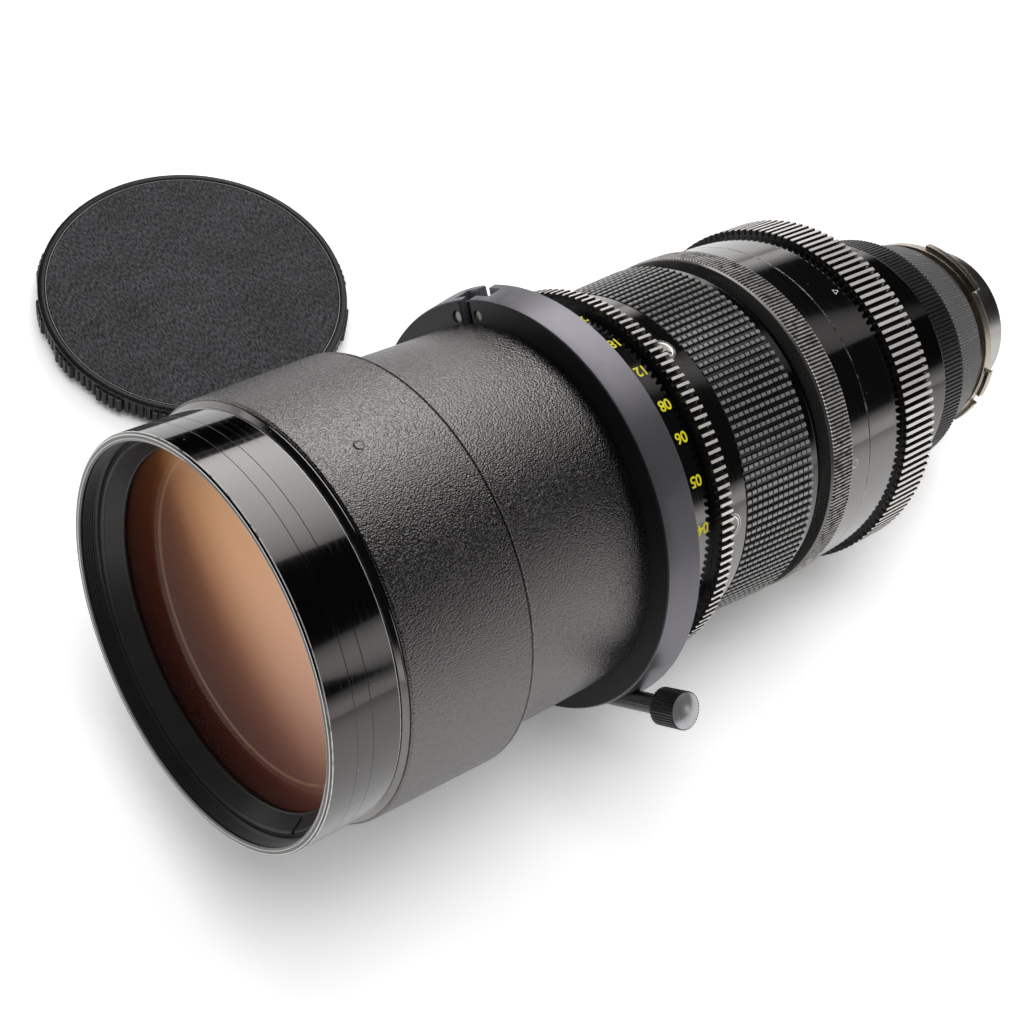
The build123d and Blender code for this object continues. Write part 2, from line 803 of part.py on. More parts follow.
# Moving glass groups: each a cell with its glass
moving_groups = (
    ("focus", focus_cell_start, focus_cell_length, inner_end_radius, focus_glass_radius),
    (
        "variator",
        variator_cell_start,
        variator_cell_length,
        cam_drum_bore - slip,
        variator_glass_radius,
    ),
    (
        "compensator",
        compensator_cell_start,
        compensator_cell_length,
        cam_drum_bore - slip,
        compensator_glass_radius,
    ),
    (
        "rear",
        lens_end - rear_tube_recess - rear_cell_length,
        rear_cell_length,
        rear_tube_bore - slip,
        rear_glass_radius,
    ),
)
for group_name, group_start, group_length, cell_radius, glass_radius in moving_groups:
    group_end = group_start + group_length
    glass_start = group_start + cell_shoulder
    with BuildPart() as group_cell:
        with BuildSketch(half_section):
            Polygon(
                (group_start, glass_radius - cell_shoulder),
                (group_start, cell_radius),
                (group_end, cell_radius),
                (group_end, glass_radius + slip),
                (glass_start, glass_radius + slip),
                (glass_start, glass_radius - cell_shoulder),
                align=None,
            )
        revolve(axis=lens_axis)
    finish(group_cell, f"{group_name}_cell")
    with BuildPart() as group_glass:
        with BuildSketch(half_section):
            with BuildLine():
                dome(glass_start - cell_glass_bulge, glass_start, glass_radius - cell_shoulder)
                Line((glass_start, glass_radius - cell_shoulder), (glass_start, glass_radius))
                Line((glass_start, glass_radius), (group_end - cell_glass_bulge, glass_radius))
                dome(group_end, group_end - cell_glass_bulge, glass_radius)
                Line((glass_start - cell_glass_bulge, 0), (group_end, 0))
            make_face()
        revolve(axis=lens_axis)
    finish(group_glass, f"{group_name}_glass")

# Rear housing: shoulder, cone and neck behind the zoom gear
with BuildPart() as rear_housing:
    with BuildSketch(half_section):
        Polygon(
            (rear_housing_start - rear_spigot_length, rear_bore),
            (rear_housing_start - rear_spigot_length, inner_end_radius),
            (rear_housing_start, inner_end_radius),
            (rear_housing_start, rear_shoulder_radius),
            (rear_housing_start + rear_shoulder_length, rear_shoulder_radius),
            (rear_housing_start + rear_shoulder_length + rear_cone_length, rear_neck_radius),
            (rear_housing_end, rear_neck_radius),
            (rear_housing_end, rear_bore),
            align=None,
        )
    revolve(axis=lens_axis)
finish(rear_housing, "rear_housing")

# Iris housing: bearing of the iris ring, blade chamber and seat of the rear tube
blade_wall_start = scale_ring_start + iris_wall
blades_start = blade_wall_start - blades_length
rear_tube_start = blade_wall_start + iris_wall
with BuildPart() as iris_housing:
    with BuildSketch(half_section):
        Polygon(
            (rear_housing_end - iris_spigot_length, iris_chamber_radius),
            (rear_housing_end - iris_spigot_length, rear_bore - slip),
            (rear_housing_end, rear_bore - slip),
            (rear_housing_end, iris_ring_bore),
            (scale_ring_start, iris_ring_bore),
            (scale_ring_start, scale_ring_bore),
            (scale_ring_end, scale_ring_bore),
            (scale_ring_end, rear_tube_seat_radius + slip),
            (rear_tube_start, rear_tube_seat_radius + slip),
            (rear_tube_start, iris_throat_radius),
            (blade_wall_start, iris_throat_radius),
            (blade_wall_start, iris_chamber_radius),
            align=None,
        )
    revolve(axis=lens_axis)
finish(iris_housing, "iris_housing")

with BuildPart() as iris_cover:
    with BuildSketch(half_section):
        band(
            blades_start - iris_cover_length,
            blades_start,
            iris_throat_radius,
            iris_chamber_radius - slip,
        )
    revolve(axis=lens_axis)
finish(iris_cover, "iris_cover")

# Iris blades, each in its own layer: a crescent with round ends, pivoted at its first end
for number in range(blade_count):
    blade_end = blades_start + (number + 1) * blade_pitch
    blade_angle = number * 360 / blade_count
    with BuildPart() as iris_blade:
        with BuildSketch(across(blade_end, blade_angle + blade_span / 2)):
            Circle(blade_middle_radius + blade_width / 2)
            Circle(blade_middle_radius - blade_width / 2, mode=Mode.SUBTRACT)
            Polygon(
                (0, 0),
                (2 * blade_middle_radius, -2 * blade_middle_radius * tan(radians(blade_span / 2))),
                (2 * blade_middle_radius, 2 * blade_middle_radius * tan(radians(blade_span / 2))),
                align=None,
                mode=Mode.INTERSECT,
            )
            with PolarLocations(blade_middle_radius, 2, -blade_span / 2, blade_span, endpoint=True):
                Circle(blade_width / 2)
        extrude(amount=blade_thickness)
    finish(iris_blade, f"iris_blade_{number + 1}")

# Iris ring and the fixed scale ring behind it
with BuildPart() as iris_ring:
    with BuildSketch(across(iris_ring_end)):
        Polygon(*ribbed(iris_rib_count, iris_ring_radius, iris_rib_depth), align=None)
        Circle(iris_ring_bore + slip, mode=Mode.SUBTRACT)
    extrude(amount=iris_ring_length)
finish(iris_ring, "iris_ring")

with BuildPart() as scale_ring:
    with BuildSketch(half_section):
        Polygon(
            (scale_ring_start, scale_ring_bore + slip),
            (scale_ring_start, scale_ring_front_radius),
            (scale_ring_end, scale_ring_rear_radius),
            (scale_ring_end, scale_ring_bore + slip),
            align=None,
        )
    revolve(axis=lens_axis)
finish(scale_ring, "scale_ring")

# Camera mount: neck, flange and four wings, one with the index notch
with BuildPart() as mount_flange:
    with BuildSketch(half_section):
        Polygon(
            (scale_ring_end, rear_tube_seat_radius + slip),
            (scale_ring_end, mount_neck_radius),
            (flange_start, mount_neck_radius),
            (flange_start, mount_flange_radius),
            (flange_end, mount_flange_radius),
            (flange_end, rear_tube_seat_radius + slip),
            align=None,
        )
    revolve(axis=lens_axis)
    for number in range(wing_count):
        middle_angle = wing_first_angle + number * 360 / wing_count
        wing_half = 2 * wing_radius * tan(radians(wing_angle / 2))
        with BuildSketch(across(flange_end, middle_angle)):
            Circle(wing_radius)
            Circle(mount_flange_radius - slip, mode=Mode.SUBTRACT)
            Polygon(
                (0, 0),
                (2 * wing_radius, -wing_half),
                (2 * wing_radius, wing_half),
                align=None,
                mode=Mode.INTERSECT,
            )
            if number == 0:
                with Locations((wing_radius, 0)):
                    Rectangle(wing_radius / 2, wing_notch_width, mode=Mode.SUBTRACT)
        extrude(amount=wing_thickness)
    with BuildSketch(across(flange_end)):
        with PolarLocations(mount_screw_circle, wing_count, wing_first_angle + 180 / wing_count):
            Circle(mount_screw_radius)
    extrude(amount=mount_screw_length, mode=Mode.SUBTRACT)
finish(mount_flange, "mount_flange")

with BuildPart() as mount_screws:
    with BuildSketch(across(flange_end - barrel_screw_sink)):
        with PolarLocations(mount_screw_circle, wing_count, wing_first_angle + 180 / wing_count):
            Circle(mount_screw_radius - slip)
    extrude(amount=mount_screw_length - barrel_screw_sink)
finish(mount_screws, "mount_screws")

with BuildPart() as rear_tube:
    with BuildSketch(half_section):
        Polygon(
            (rear_tube_start, rear_tube_bore),
            (rear_tube_start, rear_tube_seat_radius),
            (flange_end, rear_tube_seat_radius),
            (flange_end, rear_tube_radius),
            (lens_end, rear_tube_radius),
            (lens_end, rear_tube_bore),
            align=None,
        )
    revolve(axis=lens_axis)
finish(rear_tube, "rear_tube")

# Front cap: shell with grouped ribs, bright rim and covered top
cap_floor = Plane(origin=(cap_place_x, cap_place_y, floor_height))
cap_underside = cap_height - cap_skirt_height
cap_corners = []
cap_rib_total = 2 * cap_block_count * cap_ribs_per_block
for rib in range(cap_rib_total):
    raised = (rib // cap_ribs_per_block) % 2 == 0
    rib_tip = cap_radius if raised else cap_radius - cap_recess_depth
    for share, radius in ((-0.35, rib_tip - cap_rib_depth), (-0.2, rib_tip), (0.2, rib_tip)):
        angle = radians((rib + share) * 360 / cap_rib_total)
        cap_corners.append((radius * cos(angle), radius * sin(angle)))
with BuildPart() as cap_shell:
    with BuildSketch(cap_floor.offset(cap_underside)):
        Polygon(*cap_corners, align=None)
    extrude(amount=cap_skirt_height)
    with BuildSketch(cap_floor):
        Circle(cap_spigot_radius)
    extrude(amount=cap_underside)
    with BuildSketch(cap_floor):
        Circle(cap_hollow_radius)
    extrude(amount=cap_height - cap_inlay_depth - cap_top_wall, mode=Mode.SUBTRACT)
    with BuildSketch(cap_floor.offset(cap_height - cap_inlay_depth)):
        Circle(cap_rim_radius + slip)
    extrude(amount=cap_inlay_depth, mode=Mode.SUBTRACT)
finish(cap_shell, "cap_shell")

with BuildPart() as cap_rim:
    with BuildSketch(cap_floor.offset(cap_height - cap_inlay_depth)):
        Circle(cap_rim_radius)
        Circle(cap_rim_radius - cap_rim_width, mode=Mode.SUBTRACT)
    extrude(amount=cap_inlay_depth)
finish(cap_rim, "cap_rim")

with BuildPart() as cap_inlay:
    with BuildSketch(cap_floor.offset(cap_height - cap_inlay_depth)):
        Circle(cap_rim_radius - cap_rim_width - slip)
    extrude(amount=cap_inlay_depth)
finish(cap_inlay, "cap_inlay")
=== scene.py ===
"""Looks of a 10:1 cinema zoom lens on its foot, with its front cap lying beside it.

The lens is described in its own frame: stations in millimetres along the optical axis from the
front lip towards the camera, radii from that axis, and angles about it in degrees, 90 being the
top. Every turned ring is a half section carried round the axis, every toothed ring is a radius
that changes with the angle, and each finish is a small class that builds its own nodes.
"""

import json
import logging
from dataclasses import dataclass
from enum import Enum
from math import cos, pi, radians, sin
from typing import Callable, Optional, Sequence

import bmesh
import bpy
import numpy as np
from mathutils import Matrix, Vector


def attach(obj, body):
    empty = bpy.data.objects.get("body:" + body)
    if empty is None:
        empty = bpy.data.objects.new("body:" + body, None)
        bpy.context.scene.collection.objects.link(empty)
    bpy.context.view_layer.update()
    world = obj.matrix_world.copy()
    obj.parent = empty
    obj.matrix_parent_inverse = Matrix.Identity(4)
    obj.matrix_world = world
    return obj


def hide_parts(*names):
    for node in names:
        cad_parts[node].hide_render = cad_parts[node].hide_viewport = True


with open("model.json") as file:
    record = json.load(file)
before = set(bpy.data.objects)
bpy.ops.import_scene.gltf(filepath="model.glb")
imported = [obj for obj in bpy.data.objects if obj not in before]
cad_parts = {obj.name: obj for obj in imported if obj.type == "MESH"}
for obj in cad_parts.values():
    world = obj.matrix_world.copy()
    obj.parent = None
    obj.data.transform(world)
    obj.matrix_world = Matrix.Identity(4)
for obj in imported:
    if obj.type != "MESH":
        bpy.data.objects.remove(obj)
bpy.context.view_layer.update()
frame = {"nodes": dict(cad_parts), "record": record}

log = logging.getLogger("zoom_lens")

Array = np.ndarray
Colour = tuple[float, float, float]
Corners = Sequence[Sequence[float]]
Finish = bpy.types.Material
Piece = bpy.types.Object
Socket = bpy.types.NodeSocket

MM = 0.001
STEPS = 288  # steps of a turned ring round the axis
STANDS_FOR = "_piece"  # ends the name of a piece that stands for the node named before it

# Radii that several rings share, in millimetres
TUBE_BORE = 48.05
SLEEVE_BORE = 50.05
BAND_SKIN = 54.3
GLASS_EDGE = 51.35
SPACER_BORE = 46.1

# Heights up the flank of a gear tooth, from 0 at the root to 1 at the tip
GEAR_FLANK = (0.0, 0.06, 0.92, 1.0)


class Body(Enum):
    """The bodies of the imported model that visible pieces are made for."""

    LENS = "lens_body"
    FOCUS = "focus_ring"
    ZOOM = "zoom_ring"
    IRIS = "iris_ring"
    CLAMP = "clamp_screw"
    CAP = "front_cap"


@dataclass(frozen=True)
class LensAxis:
    """The optical axis in the row frame: the front lip's centre and the three directions."""

    origin: Array
    side: Array
    along: Array
    upward: Array

    @classmethod
    def from_record(cls, record: dict) -> "LensAxis":
        """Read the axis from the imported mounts.

        Args:
            record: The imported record.

        Returns:
            The axis, its origin at the front lip's centre.
        """
        mounts = {mount["name"]: mount for mount in record["mounts"]}
        along = np.array(mounts["camera_mount"]["axis"], float)
        bore = mounts["front_bore"]
        origin = np.array(bore["pos_m"], float) - along * bore["dims"]["length_mm"] * MM / 2
        side = np.array([1.0, 0.0, 0.0])
        return cls(origin, side, along, np.cross(side, along))

    def place(self, station: Array, radius: Array, angle: Array) -> Array:
        """Points in the row frame from a station, a radius and an angle.

        The point is the front lip's centre, plus the station along the axis, plus the radius
        times the cosine of the angle sideways and its sine upwards.

        Args:
            station: Millimetres along the axis.
            radius: Millimetres from the axis.
            angle: Degrees about the axis.

        Returns:
            Points in metres, the last axis being x, y and z.
        """
        station, radius, turn = np.broadcast_arrays(station, radius, np.radians(angle))
        across = radius * np.cos(turn)
        height = radius * np.sin(turn)
        return self.origin + MM * (
            across[..., None] * self.side
            + station[..., None] * self.along
            + height[..., None] * self.upward
        )


AXIS = LensAxis.from_record(frame["record"])


def once_round(count: int) -> Array:
    """Evenly spaced angles in degrees, once round."""
    return np.arange(count) * 360 / count


def loop_quads(rows: int, columns: int, close_rows: bool = True) -> Array:
    """Corner numbers of the quads of a grid that closes round its columns.

    Args:
        rows: Points along the half section.
        columns: Points round the axis.
        close_rows: Whether the last row joins the first.

    Returns:
        Four corner numbers for each quad.
    """
    last = rows if close_rows else rows - 1
    row, column = np.arange(last)[:, None], np.arange(columns)[None, :]
    after_row, after_column = (row + 1) % rows, (column + 1) % columns
    corners = [
        row * columns + column,
        row * columns + after_column,
        after_row * columns + after_column,
        after_row * columns + column,
    ]
    return np.stack(corners, -1).reshape(-1, 4)


def capped_quads(rows: int, columns: int) -> Array:
    """The quads of an open grid, and fans from its first and last row to two poles.

    Args:
        rows: Points along the half section, without the poles.
        columns: Points round the axis.

    Returns:
        Four corner numbers for each face. The poles are numbered after the grid's points, and a
        triangle has its pole twice.
    """
    column = np.arange(columns)
    after = (column + 1) % columns
    base = (rows - 1) * columns
    pole = np.full(columns, rows * columns)
    first = np.stack([pole, pole, after, column], -1)
    last = np.stack([base + column, base + after, pole + 1, pole + 1], -1)
    return np.concatenate([loop_quads(rows, columns, close_rows=False), first, last])


def facing_out(points: Array, quads: Array) -> Array:
    """Turn the faces of a closed surface outwards.

    The sum over every quad's two triangles of a . (b x c) is six times the volume inside, and it
    is negative where the faces point inwards.

    Args:
        points: Points of the surface.
        quads: Four corner numbers for each face.

    Returns:
        The corner numbers, reversed if the faces pointed inwards.
    """
    centred = points - points.mean(0)
    a, b, c, d = (centred[quads[:, number]] for number in range(4))
    first = np.einsum("ij,ij->", a, np.cross(b, c))
    second = np.einsum("ij,ij->", a, np.cross(c, d))
    return quads[:, ::-1] if first + second < 0 else quads


def put_in_scene(name: str, data: bpy.types.ID) -> bpy.types.Object:
    """Make an object and link it to the scene.

    Args:
        name: Name of the object.
        data: Its mesh, light, camera or text.

    Returns:
        The object.
    """
    made = bpy.data.objects.new(name, data)
    bpy.context.scene.collection.objects.link(made)
    return made


def build_piece(
    name: str,
    points: Array,
    quads: Array,
    wear: Optional[Array] = None,
    sharp: float = 32.0,
    closed: bool = True,
) -> Piece:
    """Make an object from arrays, its faces outwards and smooth up to an angle.

    Args:
        name: Name of the piece.
        points: Points in metres in the row frame.
        quads: Four corner numbers for each face, two neighbours equal for a triangle.
        wear: How worn each point is, from 0 to 1.
        sharp: Angle in degrees past which an edge stays sharp.
        closed: Whether the surface is one closed skin, so that its volume tells its facing.

    Returns:
        The object, at the origin, with its place in its mesh.
    """
    if closed:
        quads = facing_out(points, quads)
    triangle = (quads[:, 2] == quads[:, 3]) | (quads[:, 0] == quads[:, 1])
    faces = quads[~triangle].tolist()
    faces += [list(dict.fromkeys(face)) for face in quads[triangle].tolist()]
    mesh = bpy.data.meshes.new(name)
    mesh.from_pydata(points.tolist(), [], faces)
    if wear is not None:
        layer = mesh.attributes.new("wear", "FLOAT", "POINT")
        layer.data.foreach_set("value", np.asarray(wear, np.float32))
    mesh.shade_smooth()
    mesh.set_sharp_from_angle(angle=radians(sharp))
    return put_in_scene(name, mesh)


# Half sections


def filleted(
    corners: Corners, fillet: float = 0.2, wear: Sequence[float] = (), steps: int = 4
) -> tuple[Array, Array]:
    """A half section with rounded corners and a support point each side of every corner.

    At a corner P between A and B the curve is (1-t)^2 A' + 2t(1-t) P + t^2 B', where A' and B' lie
    a fillet away from P towards its neighbours. The support points lie 1.3 times as far.

    Args:
        corners: Stations and radii of the corners, in order round the section.
        fillet: Largest distance from a corner at which its rounding starts, in millimetres.
        wear: How worn each corner is, from 0 to 1.
        steps: Points on each rounding.

    Returns:
        The points of the section, and how worn each one is.
    """
    corner = np.asarray(corners, float)
    sides = [np.roll(corner, step, 0) - corner for step in (1, -1)]
    lengths = [np.linalg.norm(side, axis=1) for side in sides]
    reach = np.minimum(fillet, 0.36 * np.minimum(*lengths))[:, None]
    ways = [side / length[:, None] for side, length in zip(sides, lengths)]
    start, end = (corner + reach * way for way in ways)
    t = np.linspace(0, 1, steps)[None, :, None]
    curve = (1 - t) ** 2 * start[:, None] + 2 * t * (1 - t) * corner[:, None] + t**2 * end[:, None]
    lead, trail = ((corner + 1.3 * reach * way)[:, None] for way in ways)
    points = np.concatenate([lead, curve, trail], 1)
    worn = np.asarray(wear, float) if len(wear) else np.zeros(len(corner))
    share = np.concatenate([[0.0], np.ones(steps), [0.0]])
    return points.reshape(-1, 2), np.outer(worn, share).reshape(-1)


def turned(name: str, section: Array, wear: Optional[Array] = None) -> Piece:
    """A closed half section carried once round the lens axis.

    Args:
        name: Name of the piece.
        section: Stations and radii in millimetres, closed.
        wear: How worn each point of the section is.

    Returns:
        The turned piece.
    """
    points = AXIS.place(section[:, :1], section[:, 1:], once_round(STEPS)[None, :])
    worn = None if wear is None else np.repeat(wear, STEPS)
    return build_piece(name, points.reshape(-1, 3), loop_quads(len(section), STEPS), worn)


def ring(name: str, corners: Corners, fillet: float = 0.2, wear: Sequence[float] = ()) -> Piece:
    """A turned ring from the corners of its half section.

    Args:
        name: Name of the piece.
        corners: Stations and radii of the corners.
        fillet: Rounding of the corners.
        wear: How worn each corner is.

    Returns:
        The turned ring.
    """
    section, worn = filleted(corners, fillet, wear)
    return turned(name, section, worn if len(wear) else None)


def arc_section(vertex: float, edge: float, radius: float, count: int = 24) -> Array:
    """Stations and radii of half a spherical face, from the axis out to its edge.

    The ball's radius is (radius^2 + rise^2) / 2 rise, the rise being from vertex to edge.

    Args:
        vertex: Station of the face on the axis.
        edge: Station of its edge.
        radius: Radius of its edge.
        count: Points on the face.

    Returns:
        The points, the first on the axis.
    """
    rise = edge - vertex
    ball = (radius**2 + rise**2) / (2 * rise)
    swing = np.linspace(0, np.arcsin(radius / ball), count)
    return np.stack([vertex + ball * (1 - np.cos(swing)), ball * np.sin(swing)], 1)


def disc_body(name: str, section: Array) -> Piece:
    """A solid of revolution whose section starts and ends on the axis.

    Args:
        name: Name of the piece.
        section: Stations and radii, the first and last radius being nought.

    Returns:
        The solid, each pole one point.
    """
    inner = section[1:-1]
    points = AXIS.place(inner[:, :1], inner[:, 1:], once_round(STEPS)[None, :]).reshape(-1, 3)
    poles = AXIS.place(section[[0, -1], 0], np.zeros(2), np.zeros(2))
    return build_piece(name, np.concatenate([points, poles]), capped_quads(len(inner), STEPS))


def toothed(
    name: str,
    start: float,
    width: float,
    bore: float,
    tip: float,
    depth: float,
    count: int,
    half_widths: Sequence[float],
    heights: Sequence[float] = (1.0,),
    chamfer: float = 0.2,
    end_wear: float = 0.0,
    tip_wear: float = 1.0,
    taper: float = 0.0,
) -> Piece:
    """A ring with straight teeth or ribs.

    The radius is the root's plus the depth times a height that depends only on where in its pitch
    the angle lies, and it drops by the chamfer at both ends of a tooth.

    Args:
        name: Name of the piece.
        start: Station of the front face.
        width: Length along the axis.
        bore: Inner radius.
        tip: Radius of the tooth tips.
        depth: Height of a tooth.
        count: Number of teeth.
        half_widths: Half the width of a tooth at points up its flank, as shares of the pitch.
        heights: Height of those points, from 0 at the root to 1 at the tip.
        chamfer: Chamfer at the ends of the teeth.
        end_wear: Wear on the chamfers.
        tip_wear: Wear on the tips.
        taper: How much less every outer radius is at the rear end than at the front.

    Returns:
        The toothed ring.
    """
    flank, painted_light_height = np.array(half_widths), np.array(heights)
    share = np.concatenate([[-0.5], -flank, flank[::-1]])
    height = np.tile(np.concatenate([[0.0], painted_light_height, painted_light_height[::-1]]), count)
    angle = ((np.arange(count)[:, None] + share[None, :]) * 360 / count).reshape(-1)
    root = tip - depth
    full = root + depth * height
    low = full - chamfer * height
    none = np.zeros_like(full)
    worn = tip_wear * np.clip((height - 0.93) / 0.07, 0, 1)
    edge = end_wear * height
    half = [
        (0.0, none + bore, none),
        (0.0, none + (root - 0.8), none),
        (0.0, low - 0.05, none),
        (0.0, low, np.maximum(edge, worn * 0.7)),
        (chamfer, full, np.maximum(edge, worn)),
        (1.4 * chamfer, full, worn),
    ]
    station = [start + row[0] for row in half] + [start + width - row[0] for row in half[::-1]]
    station = np.array(station)[:, None]
    radius = np.stack([row[1] for row in half + half[::-1]])
    radius[1:-1] -= (taper * (station - start) / width)[1:-1]
    points = AXIS.place(station, radius, angle[None, :]).reshape(-1, 3)
    wear = np.stack([row[2] for row in half + half[::-1]]).reshape(-1)
    return build_piece(name, points, loop_quads(len(radius), len(angle)), wear, sharp=28.0)


def merged_copy(node: str, bevel: float, sharp: float = 30.0) -> Piece:
    """A copy of a CAD node, its doubles merged, its flat faces joined and its edges bevelled.

    Args:
        node: The node.
        bevel: Width of the bevel in millimetres, nought for none.
        sharp: Angle in degrees past which an edge is bevelled and stays sharp.

    Returns:
        The copy, ready to be dressed.
    """
    made = bmesh.new()
    made.from_mesh(frame["nodes"][node].data)
    bmesh.ops.remove_doubles(made, verts=made.verts, dist=2e-6)
    bmesh.ops.dissolve_limit(made, angle_limit=radians(0.4), verts=made.verts, edges=made.edges)
    bmesh.ops.recalc_face_normals(made, faces=made.faces)
    mesh = bpy.data.meshes.new(node + STANDS_FOR)
    made.to_mesh(mesh)
    made.free()
    mesh.shade_smooth()
    mesh.set_sharp_from_angle(angle=radians(sharp))
    piece = put_in_scene(node + STANDS_FOR, mesh)
    if bevel:
        rounding = piece.modifiers.new("edges", "BEVEL")
        rounding.width = bevel * MM
        rounding.segments = 2
        rounding.limit_method = "ANGLE"
        rounding.angle_limit = radians(sharp)
    return piece


def screw_heads(
    name: str, station: float, angles: Sequence[float], skin: float, radius: float, slot: float = 0.1
) -> Piece:
    """Round screw heads let into a cylinder, each dished, with a slot and a raised rim.

    At distance d from a head's middle the height is a smooth curve through the profile's points,
    less the cylinder's own fall, (d sin a)^2 / 2r, and less the slot's depth where the distance
    from the slot's line is under its half width.

    Args:
        name: Name of the piece.
        station: Station of the heads' middles.
        angles: Angles of the heads.
        skin: Radius of the cylinder.
        radius: Radius of a head with its rim.
        slot: Half width of the slot as a share of the radius.

    Returns:
        All the heads as one piece.
    """
    sides, slot_turn, slot_depth, foot = 56, 0.7, 0.35, -0.9
    share, profile = np.array([
        (0.1, -0.3), (0.25, -0.3), (0.4, -0.29), (0.5, -0.27), (0.56, -0.24), (0.64, -0.15),
        (0.72, -0.06), (0.8, 0.0), (0.84, 0.0), (0.87, -0.16), (0.9, -0.16), (0.93, 0.03),
        (0.97, 0.05), (1.0, 0.0),
    ]).T
    tall = np.minimum(1.0, radius / 3.0) * profile
    turn = np.arange(sides) * 2 * pi / sides
    out = share[:, None] * radius
    x, y = out * np.cos(turn), out * np.sin(turn)
    away = np.abs(x * cos(slot_turn) + y * sin(slot_turn))
    across = np.clip((slot * radius + 0.06 - away) / 0.08, 0, 1)
    cut = across * np.clip((0.66 * radius - out) / 0.05, 0, 1)
    height = tall[:, None] - y**2 / (2 * skin) - slot_depth * cut
    height = np.concatenate([height, np.full((1, sides), foot)])
    x, y = np.concatenate([x, x[-1:]]), np.concatenate([y, y[-1:]])
    flat = np.stack([x, y, height], -1).reshape(-1, 3)
    flat = np.concatenate([flat, [[0, 0, tall[0] - slot_depth], [0, 0, foot]]])
    worn = np.concatenate([np.clip((share - 0.9) / 0.03, 0, 1), [0.0]])
    worn[6:8] = 0.8
    shape = capped_quads(len(height), sides)
    points, faces = [], []
    for number, angle in enumerate(angles):
        middle = AXIS.place(np.array(station), np.array(skin), np.array(angle))
        outward = AXIS.side * cos(radians(angle)) + AXIS.upward * sin(radians(angle))
        round_about = AXIS.upward * cos(radians(angle)) - AXIS.side * sin(radians(angle))
        points.append(middle + MM * (flat @ np.stack([AXIS.along, round_about, outward])))
        faces.append(shape + number * len(flat))
    wear = np.tile(np.concatenate([np.repeat(worn, sides), [0.0, 0.0]]), len(angles))
    return build_piece(name, np.concatenate(points), np.concatenate(faces), wear)


def strokes(
    name: str, starts: Array, ends: Array, width: float, skin: Callable, lift: float = 0.025
) -> Piece:
    """Thin bars of paint laid on a cylinder or cone.

    A bar's corners are its ends moved half a width across its own direction, in millimetres along
    the axis and round it, at the skin's radius plus the lift, and a tenth of a millimetre under
    the skin.

    Args:
        name: Name of the piece.
        starts: Station and angle of each bar's start.
        ends: Station and angle of each bar's end.
        width: Width of the bars.
        skin: Radius of the surface at a station.
        lift: How far the paint stands over the surface.

    Returns:
        All the bars as one piece.
    """
    scale = np.array([1.0, radians(1.0) * float(skin(starts[0, 0]))])
    first, last = starts * scale, ends * scale
    run = (last - first) / np.linalg.norm(last - first, axis=1)[:, None]
    cross = np.stack([-run[:, 1], run[:, 0]], 1) * width / 2
    flat = np.stack([first - cross, last - cross, last + cross, first + cross], 1) / scale
    radius = skin(flat[..., 0])
    layers = [AXIS.place(flat[..., 0], radius + over, flat[..., 1]) for over in (lift, -0.1)]
    points = np.concatenate(layers, 1).reshape(-1, 3)
    box = [(0, 1, 2, 3), (7, 6, 5, 4), (0, 4, 5, 1), (1, 5, 6, 2), (2, 6, 7, 3), (3, 7, 4, 0)]
    quads = (np.array(box)[None] + 8 * np.arange(len(starts))[:, None, None]).reshape(-1, 4)
    return build_piece(name, points, quads)


# Finishes


class Nodes:
    """A node tree with short calls to add nodes and join them."""

    def __init__(self, tree: bpy.types.NodeTree) -> None:
        """Work on a tree."""
        self.tree = tree

    def add(self, kind: str, inputs: Optional[dict] = None, **settings: object) -> bpy.types.Node:
        """Add a node.

        Args:
            kind: Blender's name of the node without the ShaderNode in front.
            inputs: Values or sockets by input name or number.
            settings: Attributes to set on the node.

        Returns:
            The node.
        """
        node = self.tree.nodes.new(f"ShaderNode{kind}")
        for key, value in settings.items():
            setattr(node, key, value)
        for key, value in (inputs or {}).items():
            socket = node.inputs[key]
            if isinstance(value, Socket):
                self.tree.links.new(value, socket)
            else:
                socket.default_value = value
        return node

    def maths(self, operation: str, *values: object) -> Socket:
        """One step of arithmetic on values or sockets."""
        return self.add("Math", dict(enumerate(values)), operation=operation).outputs[0]

    def times(self, first: Socket, second: object) -> Socket:
        """Multiply a value by another."""
        return self.maths("MULTIPLY", first, second)

    def plus(self, first: Socket, second: Socket, share: Optional[float] = None) -> Socket:
        """Add to a value another, or a share of it."""
        return self.maths("ADD", first, second if share is None else self.times(second, share))

    def stretch(
        self, value: Socket, low: float, high: float, to_low: float = 0.0, to_high: float = 1.0
    ) -> Socket:
        """Carry a value from one range to another, clamped."""
        ends = {"From Min": low, "From Max": high, "To Min": to_low, "To Max": to_high}
        return self.add("MapRange", {"Value": value, **ends}).outputs[0]

    def colours(self, share: Socket, first: object, second: object) -> Socket:
        """Mix two colours, each a socket or red, green and blue, by a share."""
        ends = [end if isinstance(end, Socket) else (*end, 1) for end in (first, second)]
        return self.add("Mix", {0: share, 6: ends[0], 7: ends[1]}, data_type="RGBA").outputs[2]

    def between(self, share: Socket, first: object, second: object) -> Socket:
        """Mix two values by a share."""
        return self.add("Mix", {0: share, 2: first, 3: second}, data_type="FLOAT").outputs[0]


